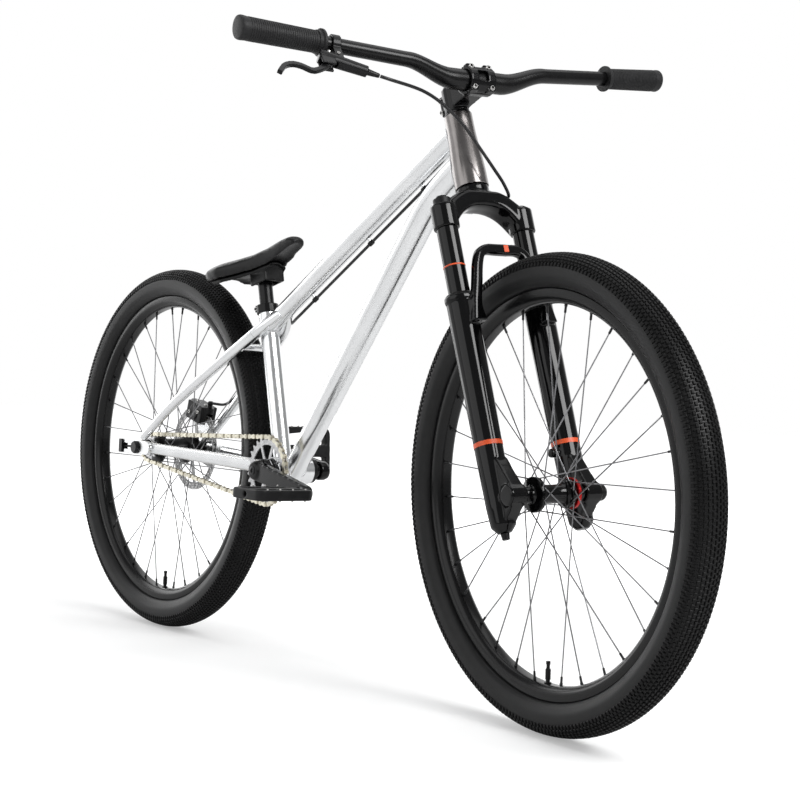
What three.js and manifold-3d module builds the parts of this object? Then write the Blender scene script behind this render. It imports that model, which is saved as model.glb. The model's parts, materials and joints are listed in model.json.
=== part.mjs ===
// Dirt jump bike: a hardtail with a suspension fork, one gear and a rear disc brake.
// Millimetres. +X is forward, +Y is the rider's left, +Z is up.
// The origin is on the ground straight under the rear axle.
import * as THREE from "three";
import { mergeVertices } from "three/addons/utils/BufferGeometryUtils.js";
import Module from "manifold-3d";

const wasm = await Module();
wasm.setup();

// Gaps
const seatGap = 0.3;
const runningGap = 0.5;
const overrun = 3;
const weldTolerance = 0.0001;

// Layout of the bike
const wheelRadius = 336;
const wheelbase = 1068.7;
const turnedWheelRise = 1.3;
const headAngle = 69.5;
const forkOffset = 45.4;
const steeringTurn = -5.4;
const crankTyreReach = 68.85;
const crankDrop = 14.5;
const crankAhead = wheelRadius + crankTyreReach;
const crankHeight = wheelRadius - crankDrop;
const crankDip = 8.7;
const crankShellWidth = 73;
const chainShellGap = 10;
const chainLine = crankShellWidth / 2 + chainShellGap;

// Head tube, measured along the steering axis from beside the front axle
const headTubeTyreGap = 147.5;
const headTubeStart = wheelRadius + headTubeTyreGap;
const headTubeLength = 118.4;
const headTubeLowerRadius = 25.5;
const headTubeUpperRadius = 21.3;
const headTubeCollar = 16;
const headTubeUpperBore = 16;
const headTubeLowerBore = 20.5;
const bearingSeatDepth = 9;
const bearingSeatWall = 2.4;
const steererRadius = 14.3;
const steererBore = 12;
const steererTaperRadius = 19;

// Frame tubes
const topTubeHeadRise = 95.5;
const topTubeAtSeatDrop = 31;
const topTubeHeadRadius = 17;
const topTubeSeatRadius = 15;
const downTubeAhead = 11;
const downTubeAimRise = 77.9;
const downTubeStraightShare = 0.795;
const downTubeHeadRise = 43.5;
const downTubeRadius = 21.5;
const downTubeFootRadius = 18.5;
const downTubeBendPull = 44;
const seatTubeBehind = 19;
const seatAngle = 75.1;
const seatTubeRadius = 16;
const seatTubeTopShare = 1.6;
const seatTubeTopRise = 58.4;
const seatTubeTop = wheelRadius * seatTubeTopShare + seatTubeTopRise;
const seatTubeBore = 13.3;
const seatTubeBoreDepth = 190;
const crankShellRadius = 23;
const crankShellBore = 17;

// Stays and dropouts
const chainstayFrontInset = 3;
const chainstayFrontSpread = crankShellWidth / 2 - chainstayFrontInset;
const chainstayFrontBehind = 8;
const chainstayFrontRise = 4;
const chainstayRearSpread = 64.5;
const chainstayRearAhead = 27;
const chainstayRearRise = 1;
const chainstayFrontWide = 15;
const chainstayFrontTall = 24;
const chainstayTaperShare = 0.82;
const seatstayTopSpread = 27;
const seatstayTopDrop = 43;
const seatstayTopBehind = 6;
const seatstayMidShares = [0.3512, 0.2619];
const seatstayMidSpread = 64;
const seatstayRearSpread = 71.5;
const seatstayRearAhead = 20;
const seatstayRearRise = 20;
const seatstayTopRadius = 10.4;
const seatstayMidRadius = 8.4;
const seatstayUpperShares = [0.7143, 0.494];
const seatstayUpperSpread = 43.5;
const seatstayUpperRadius = 9.4;
const seatstayRearRadius = 7.5;
const bridgeBehind = 42.9;
const bridgeDrop = 68;
const bridgeRadius = 7;
const dropoutInside = 68;
const dropoutThickness = 7;
const dropoutTall = 25;
const dropoutFront = 48;
const dropoutRear = 50;
const dropoutSlotHeight = 11;
const dropoutSlotFront = 8;
const tensionerLength = 12;
const tensionerWide = 13;
const tensionerScrewRadius = 2.2;
const brakeTabHeight = 66;
const brakeTabWide = 32;

// Headset, crank bearings and seat clamp
const topCoverHeight = 3.6;
const topCoverRadius = 19.5;
const cupWidth = 7.5;
const cupRadius = 21.5;
const spindleRadius = 12;
const clampHeight = 15;
const clampRadius = 19.5;
const clampSlot = 3;
const clampEarLength = 13;
const clampEarWide = 18;
const clampEarTall = 12;
const clampBoltRadius = 3;

// Seatpost and saddle
const seatpostRadius = 12.7;
const seatpostRise = 56;
const seatpostTop = seatTubeTop + seatpostRise;
const seatpostInsertion = 110;
const saddleTilt = 14;
const saddleLength = 236;
const saddleWidth = 134;
const saddleTailReach = 120;
const saddleNoseWidth = 40;
const saddleDepth = 25;
const saddleWingDrop = 13;
const saddleCrown = 5;
const saddleBaseWall = 5;
const saddleCheekLength = 48;
const saddleCheekAhead = 8;
const saddleTuck = 0.08;
const saddleTopRise = 44;
const saddleHeadRadius = 9;
const saddleHeadWide = 30;

// Wheels
const tyreWidth = 57;
const tyreWall = 4;
const tyreHeight = 50.5;
const rimTall = 20.6;
const beadSeatDepth = 6.5;
const rimWidth = 32;
const rimBedWidth = 17;
const rimFlange = 2.6;
const rimWellDepth = 12;
const rimOuterRadius = wheelRadius - tyreHeight;
const rimInnerRadius = rimOuterRadius - rimTall;
const beadSeatRadius = rimOuterRadius - beadSeatDepth;
const spokeRadius = 1.1;
const spokeCount = 32;
const spokeCrossTurn = 67.5;
const spokeLacingOffset = 1.3;
const spokeRimSpread = 4;
const valveRadius = 3.2;
const valveLength = 42;
const valveStep = 1.4;

// Front hub
const frontHubWidth = 100;
const frontFlangeRight = 31;
const frontFlangeLeft = 24;
const frontFlangeRadius = 25;
const frontFlangeLeftRadius = 21;
const frontFlangeThickness = 5;
const frontHubCore = 14.5;
const frontHubCap = 11.5;
const frontAxleRadius = 7.5;
const spokeHoleInset = 3;

// Rear hub
const rearHubWidth = 135;
const rearFlangeRight = 27;
const rearFlangeLeft = 31;
const rearFlangeRadius = 29;
const rearFlangeThickness = 5;
const rearHubCore = 17;
const rearHubCap = 13;
const rearAxleRadius = 5;
const rotorCarrierRadius = 21;
const rotorOffset = 51;
const rotorThickness = 2;
const rotorRadius = 80;
const rotorBand = 14;
const rotorArms = 6;
const rotorArmWide = 9;
const rotorArmLean = 35;
const axleBoltRadius = 12;
const axleBoltHead = 6;

// Drivetrain
const chainPitch = 12.7;
const ringTeeth = 28;
const cogTeeth = 12;
const toothThickness = 2;
const toothHeight = 3.6;
const rollerRadius = 3.9;
const toothClearance = 0.5;
const linkInnerWidth = 3.6;
const linkPlate = 1.1;
const linkStep = 0.9;
const linkTall = 8.4;
const linkWaistShare = 0.62;
const pinRadius = 1.9;
const ringWindows = 8;
const ringBand = 9;
const ringCentre = 20;
const ringSpokeWide = 5;
const cogCarrierRadius = 17;
const cogBore = 15;
const crankLength = 165;
const crankCupGap = 13;
const crankInside = crankShellWidth / 2 + cupWidth + crankCupGap;
const crankArmThickness = 14;
const crankArmRootWide = 33;
const crankArmTipWide = 25;
const crankArmFlare = 12;
const crankCapRadius = 15;
const crankCapDepth = 4;
const pedalWide = 104;
const pedalLong = 88;
const pedalThickness = 17;
const pedalRim = 10;
const pedalCorner = 14;
const pedalGap = 4;
const pedalAxleRadius = 4;
const pedalAxleFlange = 7.5;
const pedalBarrelRadius = 9;
const pedalTurnRight = 0;
const pedalTurnLeft = 86;

// Fork
const legSpread = 68;
const legOffset = 12;
const stanchionRadius = 16;
const stanchionSink = 139;
const stanchionWall = 2.5;
const crownTall = 74.5;
const crownLegDrop = 37.5;
const crownBottom = headTubeStart - crownTall;
const crownLegTop = headTubeStart - crownLegDrop;
const crownTop = headTubeStart - seatGap;
const crownClampRadius = 19.5;
const crownDepth = 38;
const crownRaceRadius = 24.5;
const crownRaceHeight = 13;
const crownArchRise = 36;
const crownShoulder = 19;
const wiperDrop = 32;
const wiperTop = wheelRadius - wiperDrop;
const stanchionStart = wiperTop - stanchionSink;
const wiperHeight = 9;
const wiperRadius = 23.5;
const lowerLegRadius = 21.8;
const lowerLegTaper = 20.4;
const lowerBoreEnd = 50;
const legFoot = -45;
const legFootRadius = 10;
const dropoutBossRadius = 15;
const dropoutBossInside = 51;
const dropoutBossOutside = 79.5;
const dropoutWebThickness = 24;
const archTyreGap = 41;
const archTop = wheelRadius + archTyreGap;
const archUprightWide = 13;
const archFootInset = 9;
const archBand = 17;
const archForward = 22.3;
const archDepth = 15;
const archTall = 113;
const archFoot = archTop - archTall;
const archFootBand = 36;
const archTopWide = 74;
const guidePostHeight = 68;
const guidePostReach = 36;
const guidePostInward = 28;
const guidePostRadius = 4.5;
const guidePostHead = 7.5;
const guidePostHeadLength = 12;
const knobRadius = 13.5;
const knobHeight = 14;
const airCapHeight = 4;
const reboundRadius = 6.5;
const reboundHeight = 9;
const axleHeadRadius = 12.5;
const axleHeadLength = 11;

// Stem and handlebar
const stemCoverGap = 1;
const stemHeight = 40;
const stemClampRadius = 18.6;
const stemReach = 60;
const stemBarRise = 3.5;
const stemStart = headTubeStart + headTubeLength + topCoverHeight + stemCoverGap;
const stemBarHeight = stemStart + stemHeight / 2 + stemBarRise;
const barClampRadius = 15.9;
const barClampWall = 5.6;
const barClampWidth = 44;
const stemNeckWide = 30;
const stemNeckTall = 29;
const stemSlot = 2;
const stemPinchReach = 5;
const stemPinchWide = 24;
const faceplateWindow = 17;
const faceplateSplit = 2;
const topCapHeight = 4;
const topCapRadius = 16.5;
const barWidth = 756;
const barRadius = 11.1;
const barRise = 20;
const barUpsweep = 5;
const barBacksweep = 8;
const barBendStart = 44;
const barBendEnd = 125;
const gripLength = 124;
const gripRadius = 15.5;
const gripFlangeRadius = 20;
const gripFlangeWidth = 4;
const gripEndRadius = 17.5;
const gripEndWall = 4;

// Brake lever on the right-hand side of the bar
const leverGripGap = 18;
const leverClampPlace = barWidth / 2 - gripLength - leverGripGap;
const leverClampWidth = 13;
const leverClampWall = 4;
const leverDrop = 65;
const masterRadius = 10.5;
const masterLength = 70;
const masterReach = 42;
const masterInboard = 40;
const masterSplay = 10;
const leverNeckTall = 14;
const masterNoseRadius = 5.5;
const masterNoseLength = 18;
const leverPivotReach = 52;
const leverPivotOutboard = 20;
const leverEarThickness = 4;
const leverPinRadius = 3;
const leverBladeThickness = 8;
const leverBladeWide = 10;
const leverBladeReach = 92;

// Rear brake
const caliperAngle = 75;
const caliperCentre = 70;
const caliperLong = 54;
const caliperTall = 34;
const caliperWide = 33.4;
const caliperSlot = 12.6;
const caliperPost = 9;
const padLong = 26;
const padTall = 18;
const padThickness = 4.2;
const padTravel = 0.3;
const padClearance = 0.45;
const padSink = 4;
const hoseRadius = 2.5;
const hoseSides = 8;
const hoseSteps = 54;
const hosePortReach = 6.5;
const hosePortRise = 10.6;
const hosePortRadius = 4.5;
const hosePortTurn = 16;
const hosePortLead = 32;
const hoseStayRise = 14.5;
const hoseSeatSide = 31;
const hoseSeatRise = 7;
const hoseSeatReach = 15;
const hoseLoopSide = 20;
const hosePassSide = 38;
const hoseFrontReach = 74;
const hoseFrontSide = 50;
const guideRadius = 4.2;
const guideLength = 9;
const guideStandOff = 23.5;

// Shares of other sizes
const bossCornerShare = 0.7;
const webCornerShare = 0.8;
const legFootShare = 0.88;
const archFootShare = 0.1;
const axleHeadEdgeShare = 0.6;
const axleHeadTipShare = 0.75;
const reboundTaperShare = 0.85;
const knobRimShare = 0.7;
const knobTopShare = 0.6;
const stemPinchShare = 0.8;
const topCapEdgeShare = 0.9;
const gripEndShare = 0.9;
const masterTaperShare = 0.8;
const bladeThicknessShare = 0.8;
const bladeTaperShare = 0.75;
const bladeEyeShare = 0.7;
const caliperShoulderShare = 0.42;
const rotorArmStartShare = 0.9;
const rimBedShare = 0.4;
const toothValleyShare = 0.16;
const toothTipShares = [0.41, 0.59];
const windowEdgeShares = [-1, -0.4, 0.4, 1];
const spokePhaseShares = [0.25, 0.75];
const saddleBaseShares = [0.14, 0.7];

// Facets
const tubeSides = 16;
const legSides = 14;
const wheelSides = 36;
const smallSides = 9;
const tinySides = 6;
const boreSides = 14;
const barSides = 14;
const spokeSides = 3;
const pinSides = 4;

// Finishes
const polished = { color: 0xd4d7d9, roughness: 0.24, metalness: 1.0 };
const gunmetal = { color: 0x55534f, roughness: 0.34, metalness: 0.8 };
const glossBlack = { color: 0x070708, roughness: 0.1, metalness: 0.1 };
const satinBlack = { color: 0x131416, roughness: 0.42, metalness: 0.3 };
const rubber = { color: 0x18191b, roughness: 0.85, metalness: 0.0 };
const steel = { color: 0xb9bbbd, roughness: 0.3, metalness: 1.0 };
const chainSteel = { color: 0xb5ad93, roughness: 0.32, metalness: 1.0 };
const darkSteel = { color: 0x3a3a3c, roughness: 0.35, metalness: 0.9 };

const point = (x, y, z) => new THREE.Vector3(x, y, z);
const radians = THREE.MathUtils.degToRad;

// Triangles of a closed mesh, each corner shared, turned the right way out
function closedTriangles(geometry) {
  const bare = geometry.clone();
  bare.deleteAttribute("normal");
  bare.deleteAttribute("uv");
  const merged = mergeVertices(bare, weldTolerance);
  const corners = merged.index.array;
  const kept = [];
  for (let i = 0; i < corners.length; i += 3) {
    const [a, b, c] = [corners[i], corners[i + 1], corners[i + 2]];
    if (a !== b && b !== c && c !== a) kept.push(a, b, c);
  }
  const places = Float32Array.from(merged.attributes.position.array);
  const corner = (i) => point(places[3 * i], places[3 * i + 1], places[3 * i + 2]);
  let volume = 0;
  for (let i = 0; i < kept.length; i += 3) {
    volume += corner(kept[i]).dot(corner(kept[i + 1]).cross(corner(kept[i + 2])));
  }
  if (volume < 0) kept.reverse();
  return { places, corners: Uint32Array.from(kept) };
}

function solidFrom(geometry) {
  const { places, corners } = closedTriangles(geometry);
  return new wasm.Manifold(new wasm.Mesh({ numProp: 3, vertProperties: places, triVerts: corners }));
}

function geometryFrom(solid) {
  const mesh = solid.getMesh();
  const geometry = new THREE.BufferGeometry();
  geometry.setAttribute("position", new THREE.BufferAttribute(mesh.vertProperties, 3));
  geometry.setIndex(new THREE.BufferAttribute(mesh.triVerts, 1));
  return geometry;
}

function join(...geometries) {
  return geometryFrom(geometries.map(solidFrom).reduce((whole, next) => whole.add(next)));
}

function cut(base, ...tools) {
  return geometryFrom(tools.map(solidFrom).reduce((rest, tool) => rest.subtract(tool), solidFrom(base)));
}

// A frame whose Y axis runs from one point to another, centred between them, with Z kept upwards
function frameAlong(from, to) {
  const yAxis = to.clone().sub(from).normalize();
  const upwards = Math.abs(yAxis.z) > 0.99 ? point(1, 0, 0) : point(0, 0, 1);
  const xAxis = yAxis.clone().cross(upwards).normalize();
  const zAxis = xAxis.clone().cross(yAxis);
  const matrix = new THREE.Matrix4().makeBasis(xAxis, yAxis, zAxis);
  return matrix.setPosition(from.clone().lerp(to, 0.5));
}

function rod(from, to, startRadius, endRadius = startRadius, sides = tubeSides) {
  const bar = new THREE.CylinderGeometry(endRadius, startRadius, from.distanceTo(to), sides);
  return bar.applyMatrix4(frameAlong(from, to));
}

// A straight tube of oval section that tapers to a share of its first size
function ovalRod(from, to, wide, tall, taperShare, sides = tubeSides) {
  const bar = new THREE.CylinderGeometry(taperShare, 1, from.distanceTo(to), sides);
  bar.scale(wide / 2, 1, tall / 2);
  return bar.applyMatrix4(frameAlong(from, to));
}

function block(lengthX, widthY, heightZ, centre) {
  return new THREE.BoxGeometry(lengthX, widthY, heightZ).translate(centre.x, centre.y, centre.z);
}

// An outline, as a shape or as pairs, given a thickness about its own plane
function slab(outline, thickness, curveSegments = 8) {
  const shape = outline instanceof THREE.Shape ? outline : shapeThrough(outline);
  const plate = new THREE.ExtrudeGeometry(shape, { depth: thickness, bevelEnabled: false, curveSegments });
  return plate.translate(0, 0, -thickness / 2);
}

function shapeThrough(pairs) {
  return new THREE.Shape(pairs.map(([x, y]) => new THREE.Vector2(x, y)));
}

// The drawing plane turned into the bike's side view, its front view or its plan
const toSideView = (geometry) => geometry.rotateX(Math.PI / 2);
const toFrontView = (geometry) =>
  geometry.applyMatrix4(new THREE.Matrix4().makeBasis(point(0, 1, 0), point(0, 0, 1), point(1, 0, 0)));

// A profile of [radius, place] pairs turned about the Y axis; a ring's profile closes on itself
function turned(profile, sides) {
  return new THREE.LatheGeometry(profile.map(([radius, place]) => new THREE.Vector2(radius, place)), sides);
}

const turnedRing = (profile, sides) => turned([...profile, profile[0]], sides);
const toUpright = (geometry) => geometry.rotateX(Math.PI / 2);

// A route whose corners are the given points exactly
class CornerRoute extends THREE.Curve {
  constructor(points) {
    super();
    this.points = points;
  }

  getPoint(share, target = point(0, 0, 0)) {
    const place = share * (this.points.length - 1);
    const start = Math.min(Math.floor(place), this.points.length - 2);
    return target.lerpVectors(this.points[start], this.points[start + 1], place - start);
  }

  getPointAt(share, target) {
    return this.getPoint(share, target);
  }

  getTangentAt(share, target = point(0, 0, 0)) {
    const reach = 0.01 / this.points.length;
    const before = this.getPoint(Math.max(share - reach, 0));
    const after = this.getPoint(Math.min(share + reach, 1));
    return target.copy(after.sub(before).normalize());
  }
}

function circleOutline(radius, sides) {
  const steps = [...Array(sides).keys()];
  return steps.map(
    (i) => [radius * Math.cos((2 * Math.PI * i) / sides), radius * Math.sin((2 * Math.PI * i) / sides)],
  );
}

function tubeThrough(points, radius, sides) {
  const settings = { steps: points.length - 1, extrudePath: new CornerRoute(points), bevelEnabled: false };
  return new THREE.ExtrudeGeometry(shapeThrough(circleOutline(radius, sides)), settings);
}

function around(count, make) {
  return [...Array(count).keys()].map((i) => make((2 * Math.PI * i) / count, i));
}

function addPart(group, name, geometry, finish) {
  const { places, corners } = closedTriangles(geometry);
  const closed = new THREE.BufferGeometry();
  closed.setAttribute("position", new THREE.BufferAttribute(places, 3));
  closed.setIndex(new THREE.BufferAttribute(corners, 1));
  closed.computeVertexNormals();
  const mesh = new THREE.Mesh(closed, new THREE.MeshStandardMaterial(finish));
  mesh.name = name;
  group.add(mesh);
  return mesh;
}

// Groups that carry the parts
const bike = new THREE.Group();
const headFrame = new THREE.Group();
const steering = new THREE.Group();
const rearWheel = new THREE.Group();
const frontWheel = new THREE.Group();
const cranks = new THREE.Group();
bike.add(headFrame, rearWheel, cranks);
headFrame.add(steering);
steering.add(frontWheel);

const steeringForward = point(Math.sin(radians(headAngle)), 0, Math.cos(radians(headAngle)));
const steeringUp = point(-Math.cos(radians(headAngle)), 0, Math.sin(radians(headAngle)));
// Turning the bar drops the tyre a little, so the axle sits that much higher
const frontAxle = point(wheelbase, 0, wheelRadius + turnedWheelRise);
const steeringFoot = frontAxle.clone().addScaledVector(steeringForward, -forkOffset);
headFrame.position.copy(steeringFoot);
headFrame.rotation.y = radians(headAngle) - Math.PI / 2;
steering.rotation.z = radians(steeringTurn);
frontWheel.position.x = forkOffset;
frontWheel.rotation.y = Math.PI / 2 - radians(headAngle);
rearWheel.position.z = wheelRadius;
cranks.position.set(crankAhead, 0, crankHeight);
cranks.rotation.y = radians(crankDip);
bike.updateMatrixWorld(true);

const headTubeEnd = headTubeStart + headTubeLength;
const onSteeringAxis = (place) => steeringFoot.clone().addScaledVector(steeringUp, place);
const inHeadFrame = (geometry) => geometry.applyMatrix4(headFrame.matrixWorld);
const mirrored = (spot, side) => point(spot.x, side * spot.y, spot.z);

// Points on the frame
const seatLean = 1 / Math.tan(radians(seatAngle));
const onSeatTube = (height) => point(
  crankAhead - seatTubeBehind - (height - crankHeight) * seatLean,
  0,
  height,
);
const topTubeHead = onSteeringAxis(headTubeStart + topTubeHeadRise);
const topTubeSeat = onSeatTube(seatTubeTop - topTubeAtSeatDrop);
const downTubeFoot = point(crankAhead + downTubeAhead, 0, crankHeight);
const downTubeAim = onSteeringAxis(headTubeStart + downTubeAimRise);
const downTubeRun = downTubeAim.clone().sub(downTubeFoot).normalize();
const downTubeBend = downTubeFoot.clone().lerp(downTubeAim, downTubeStraightShare);
const downTubeHead = onSteeringAxis(headTubeStart + downTubeHeadRise);
const crankCentre = point(crankAhead, 0, crankHeight);
const chainstayFront = point(
  crankAhead - chainstayFrontBehind,
  chainstayFrontSpread,
  crankHeight + chainstayFrontRise,
);
const chainstayRear = point(chainstayRearAhead, chainstayRearSpread, wheelRadius + chainstayRearRise);
const seatstayTopOffset = point(-seatstayTopBehind, seatstayTopSpread, 0);
const seatstayTop = onSeatTube(seatTubeTop - seatstayTopDrop).add(seatstayTopOffset);
const bridgeMiddle = onSeatTube(seatTubeTop - bridgeDrop).add(point(-bridgeBehind, 0, 0));
const saddlePivot = onSeatTube(seatpostTop);
const besideWheel = ([ahead, rise], spread) => point(ahead * wheelRadius, spread, (1 + rise) * wheelRadius);
const seatstayMid = besideWheel(seatstayMidShares, seatstayMidSpread);
const seatstayUpper = besideWheel(seatstayUpperShares, seatstayUpperSpread);
const seatstayRear = point(seatstayRearAhead, seatstayRearSpread, wheelRadius + seatstayRearRise);

// Full shapes of the tubes that others are coped against, grown by a gap
function headTubeOutside(gap) {
  const profile = [
    [0, headTubeStart - gap],
    [headTubeLowerRadius + gap, headTubeStart - gap],
    [headTubeLowerRadius + gap, headTubeStart + headTubeCollar],
    [headTubeUpperRadius + gap, headTubeEnd - headTubeCollar],
    [headTubeUpperRadius + gap, headTubeEnd + gap],
    [0, headTubeEnd + gap],
  ];
  return toUpright(turned(profile, tubeSides));
}

const seatTubeOutside = (gap) =>
  rod(onSeatTube(crankHeight), onSeatTube(seatTubeTop), seatTubeRadius + gap, seatTubeRadius + gap);
const crankShellOutside = (gap) => {
  const half = crankShellWidth / 2 + gap;
  const left = point(crankAhead, half, crankHeight);
  return rod(mirrored(left, -1), left, crankShellRadius + gap);
};
const topTubeOutside = (gap) => rod(
  topTubeSeat,
  topTubeHead,
  topTubeSeatRadius + gap,
  topTubeHeadRadius + gap,
);
const downTubeOutside = (gap) => {
  const straight = rod(downTubeFoot, downTubeBend, downTubeFootRadius + gap, downTubeRadius + gap);
  const pulled = downTubeBend.clone().addScaledVector(downTubeRun, downTubeBendPull);
  const bend = new THREE.QuadraticBezierCurve3(downTubeBend, pulled, downTubeHead).getPoints(3);
  const start = downTubeBend.clone().addScaledVector(downTubeRun, -overrun);
  return join(straight, tubeThrough([start, ...bend.slice(1)], downTubeRadius + gap, tubeSides));
};

function headTube() {
  const lip = bearingSeatDepth;
  const bore = [
    [0, headTubeStart - overrun],
    [headTubeLowerRadius - bearingSeatWall, headTubeStart - overrun],
    [headTubeLowerRadius - bearingSeatWall, headTubeStart + lip],
    [headTubeLowerBore, headTubeStart + lip],
    [headTubeUpperBore, headTubeEnd - lip],
    [headTubeUpperRadius - bearingSeatWall, headTubeEnd - lip],
    [headTubeUpperRadius - bearingSeatWall, headTubeEnd + overrun],
    [0, headTubeEnd + overrun],
  ];
  return cut(headTubeOutside(0), toUpright(turned(bore, tubeSides)));
}

// A bearing ring fills the seat at one end of the head tube
function headsetBearing(start, end, outerRadius, innerRadius) {
  const profile = [
    [innerRadius, start],
    [outerRadius, start],
    [outerRadius, end],
    [innerRadius, end],
  ];
  return toUpright(turnedRing(profile, tubeSides));
}

// Loops under the top tube that hold the brake hose
function hoseGuide(centre, direction, carrier) {
  const half = direction.clone().multiplyScalar(guideLength / 2);
  const loop = rod(centre.clone().sub(half), centre.clone().add(half), guideRadius, guideRadius, tinySides);
  const leg = rod(centre, carrier, guideRadius / 2, guideRadius / 2, tinySides);
  return join(loop, leg);
}

const topTubeRun = topTubeHead.clone().sub(topTubeSeat).normalize();
const guideShares = [0.225, 0.525, 0.79];
const guideMargin = 0.1;
const guideLean = point(0.45, 0.42, -0.79).normalize();
const guideCentre = (share) =>
  topTubeSeat.clone().lerp(topTubeHead, share).addScaledVector(guideLean, guideStandOff);

// Places of the hose between the two tubes and beside the head tube, as shares of the way along the tubes
const hoseLoopShare = 0.858;
const hosePassShare = 0.38;
// Places of the hose in front of the head tube, as shares of its reach, its side and the head tube's length
const hoseFrontShares = [
  [-0.11, 1, -0.03],
  [0.245, 1, -0.148],
  [0.485, 0.64, -0.055],
  [0.635, 0.2, 0.106],
  [0.73, -0.24, 0.317],
  [0.825, -0.74, 0.562],
  [0.92, -1.4, 0.79],
  [1, -2.12, 0.933],
];

// The hose runs over the left stay, past the seat tube and under the top tube
function hoseFrameRoute() {
  const port = hosePort().applyMatrix4(caliperFrame.matrixWorld);
  const overStay = (from, to, share, more = 0) =>
    from.clone().lerp(to, share).add(point(0, 0, hoseStayRise + more));
  const besideSeat = (ahead) => topTubeSeat.clone().add(point(ahead, hoseSeatSide, hoseSeatRise));
  const between = topTubeSeat.clone().lerp(topTubeHead, hoseLoopShare).lerp(downTubeBend, 1 / 2);
  const pass = between.clone().lerp(downTubeHead, hosePassShare);
  return [
    port,
    port.clone().addScaledVector(hosePortRun, hosePortLead),
    overStay(seatstayMid, seatstayUpper, 0),
    overStay(seatstayMid, seatstayUpper, 1 / 2),
    overStay(seatstayUpper, seatstayTop, 0, hoseRadius),
    overStay(seatstayUpper, seatstayTop, 1 / 2, 3 * hoseRadius),
    besideSeat(-hoseSeatReach),
    besideSeat(hoseSeatReach),
    guideCentre(guideShares[0] - guideMargin),
    guideCentre(guideShares[0]),
    guideCentre(guideShares[1]),
    guideCentre(guideShares[2]),
    guideCentre(guideShares[2] + guideMargin),
    between.clone().add(point(0, hoseLoopSide, 0)),
    pass.add(point(0, hosePassSide, 0)),
  ];
}

// Round the front of the head tube, in the steering frame, then to the lever
function hoseSteeringRoute() {
  const front = hoseFrontShares.map(([ahead, side, rise]) =>
    point(ahead * hoseFrontReach, side * hoseFrontSide, headTubeStart + rise * headTubeLength),
  );
  return [...front, ...hoseLeverEnd()];
}

function brakeHose() {
  const ahead = hoseSteeringRoute().map((spot) => spot.applyMatrix4(steering.matrixWorld));
  const route = new THREE.CatmullRomCurve3([...hoseFrameRoute(), ...ahead], false, "centripetal");
  return tubeThrough(route.getSpacedPoints(hoseSteps), hoseRadius, hoseSides);
}

function hoseChannel() {
  const clear = hoseRadius + 2 * seatGap;
  return rod(guideCentre(-guideMargin), guideCentre(1), clear, clear, tinySides);
}

function topTube() {
  const guides = guideShares.map((share) =>
    hoseGuide(guideCentre(share), topTubeRun, topTubeSeat.clone().lerp(topTubeHead, share)),
  );
  const tube = join(topTubeOutside(0), ...guides);
  const head = inHeadFrame(headTubeOutside(seatGap));
  return cut(tube, head, seatTubeOutside(seatGap), hoseChannel());
}

function downTube() {
  const head = inHeadFrame(headTubeOutside(seatGap));
  return cut(
    downTubeOutside(0),
    head,
    topTubeOutside(seatGap),
    seatTubeOutside(seatGap),
    crankShellOutside(seatGap),
  );
}

function seatTube() {
  const bottom = onSeatTube(seatTubeTop - seatTubeBoreDepth);
  const past = onSeatTube(seatTubeTop + overrun);
  return cut(seatTubeOutside(0), rod(bottom, past, seatTubeBore), crankShellOutside(seatGap));
}

function crankShell() {
  const past = crankShellWidth / 2 + overrun;
  const left = point(crankAhead, past, crankHeight);
  return cut(crankShellOutside(0), rod(mirrored(left, -1), left, crankShellBore));
}

function chainstay(side) {
  const from = mirrored(chainstayFront, side);
  const to = mirrored(chainstayRear, side);
  const stay = ovalRod(from, to, chainstayFrontWide, chainstayFrontTall, chainstayTaperShare);
  const cupEnd = crankShellWidth / 2 + cupWidth + overrun;
  const cup = rod(
    crankCentre,
    mirrored(point(crankAhead, cupEnd, crankHeight), side),
    cupRadius + runningGap,
  );
  return cut(stay, crankShellOutside(seatGap), cup);
}

// A stay bent in two places, each length run a little into the next
function seatstay(side) {
  const bends = [seatstayRear, seatstayMid, seatstayUpper, seatstayTop].map((spot) => mirrored(spot, side));
  const radii = [seatstayRearRadius, seatstayMidRadius, seatstayUpperRadius, seatstayTopRadius];
  const lengths = bends.slice(1).map((end, i) => {
    const past = end.clone().addScaledVector(end.clone().sub(bends[i]).normalize(), overrun);
    return rod(bends[i], past, radii[i], radii[i + 1]);
  });
  return join(...lengths);
}

function bridge() {
  const left = bridgeMiddle.clone().add(point(0, seatstayTopSpread, 0));
  return rod(mirrored(left, -1), left, bridgeRadius, bridgeRadius, smallSides);
}

const stayTrims = () => [seatTubeOutside(seatGap), topTubeOutside(seatGap)];

function seatstayRight() {
  return cut(join(seatstay(-1), bridge()), ...stayTrims());
}

function seatstayLeft() {
  const gapBridge = rod(
    bridgeMiddle,
    bridgeMiddle.clone().add(point(0, seatstayTopSpread + overrun, 0)),
    bridgeRadius + seatGap,
    bridgeRadius + seatGap,
    smallSides,
  );
  return cut(seatstay(1), ...stayTrims(), gapBridge);
}

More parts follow.
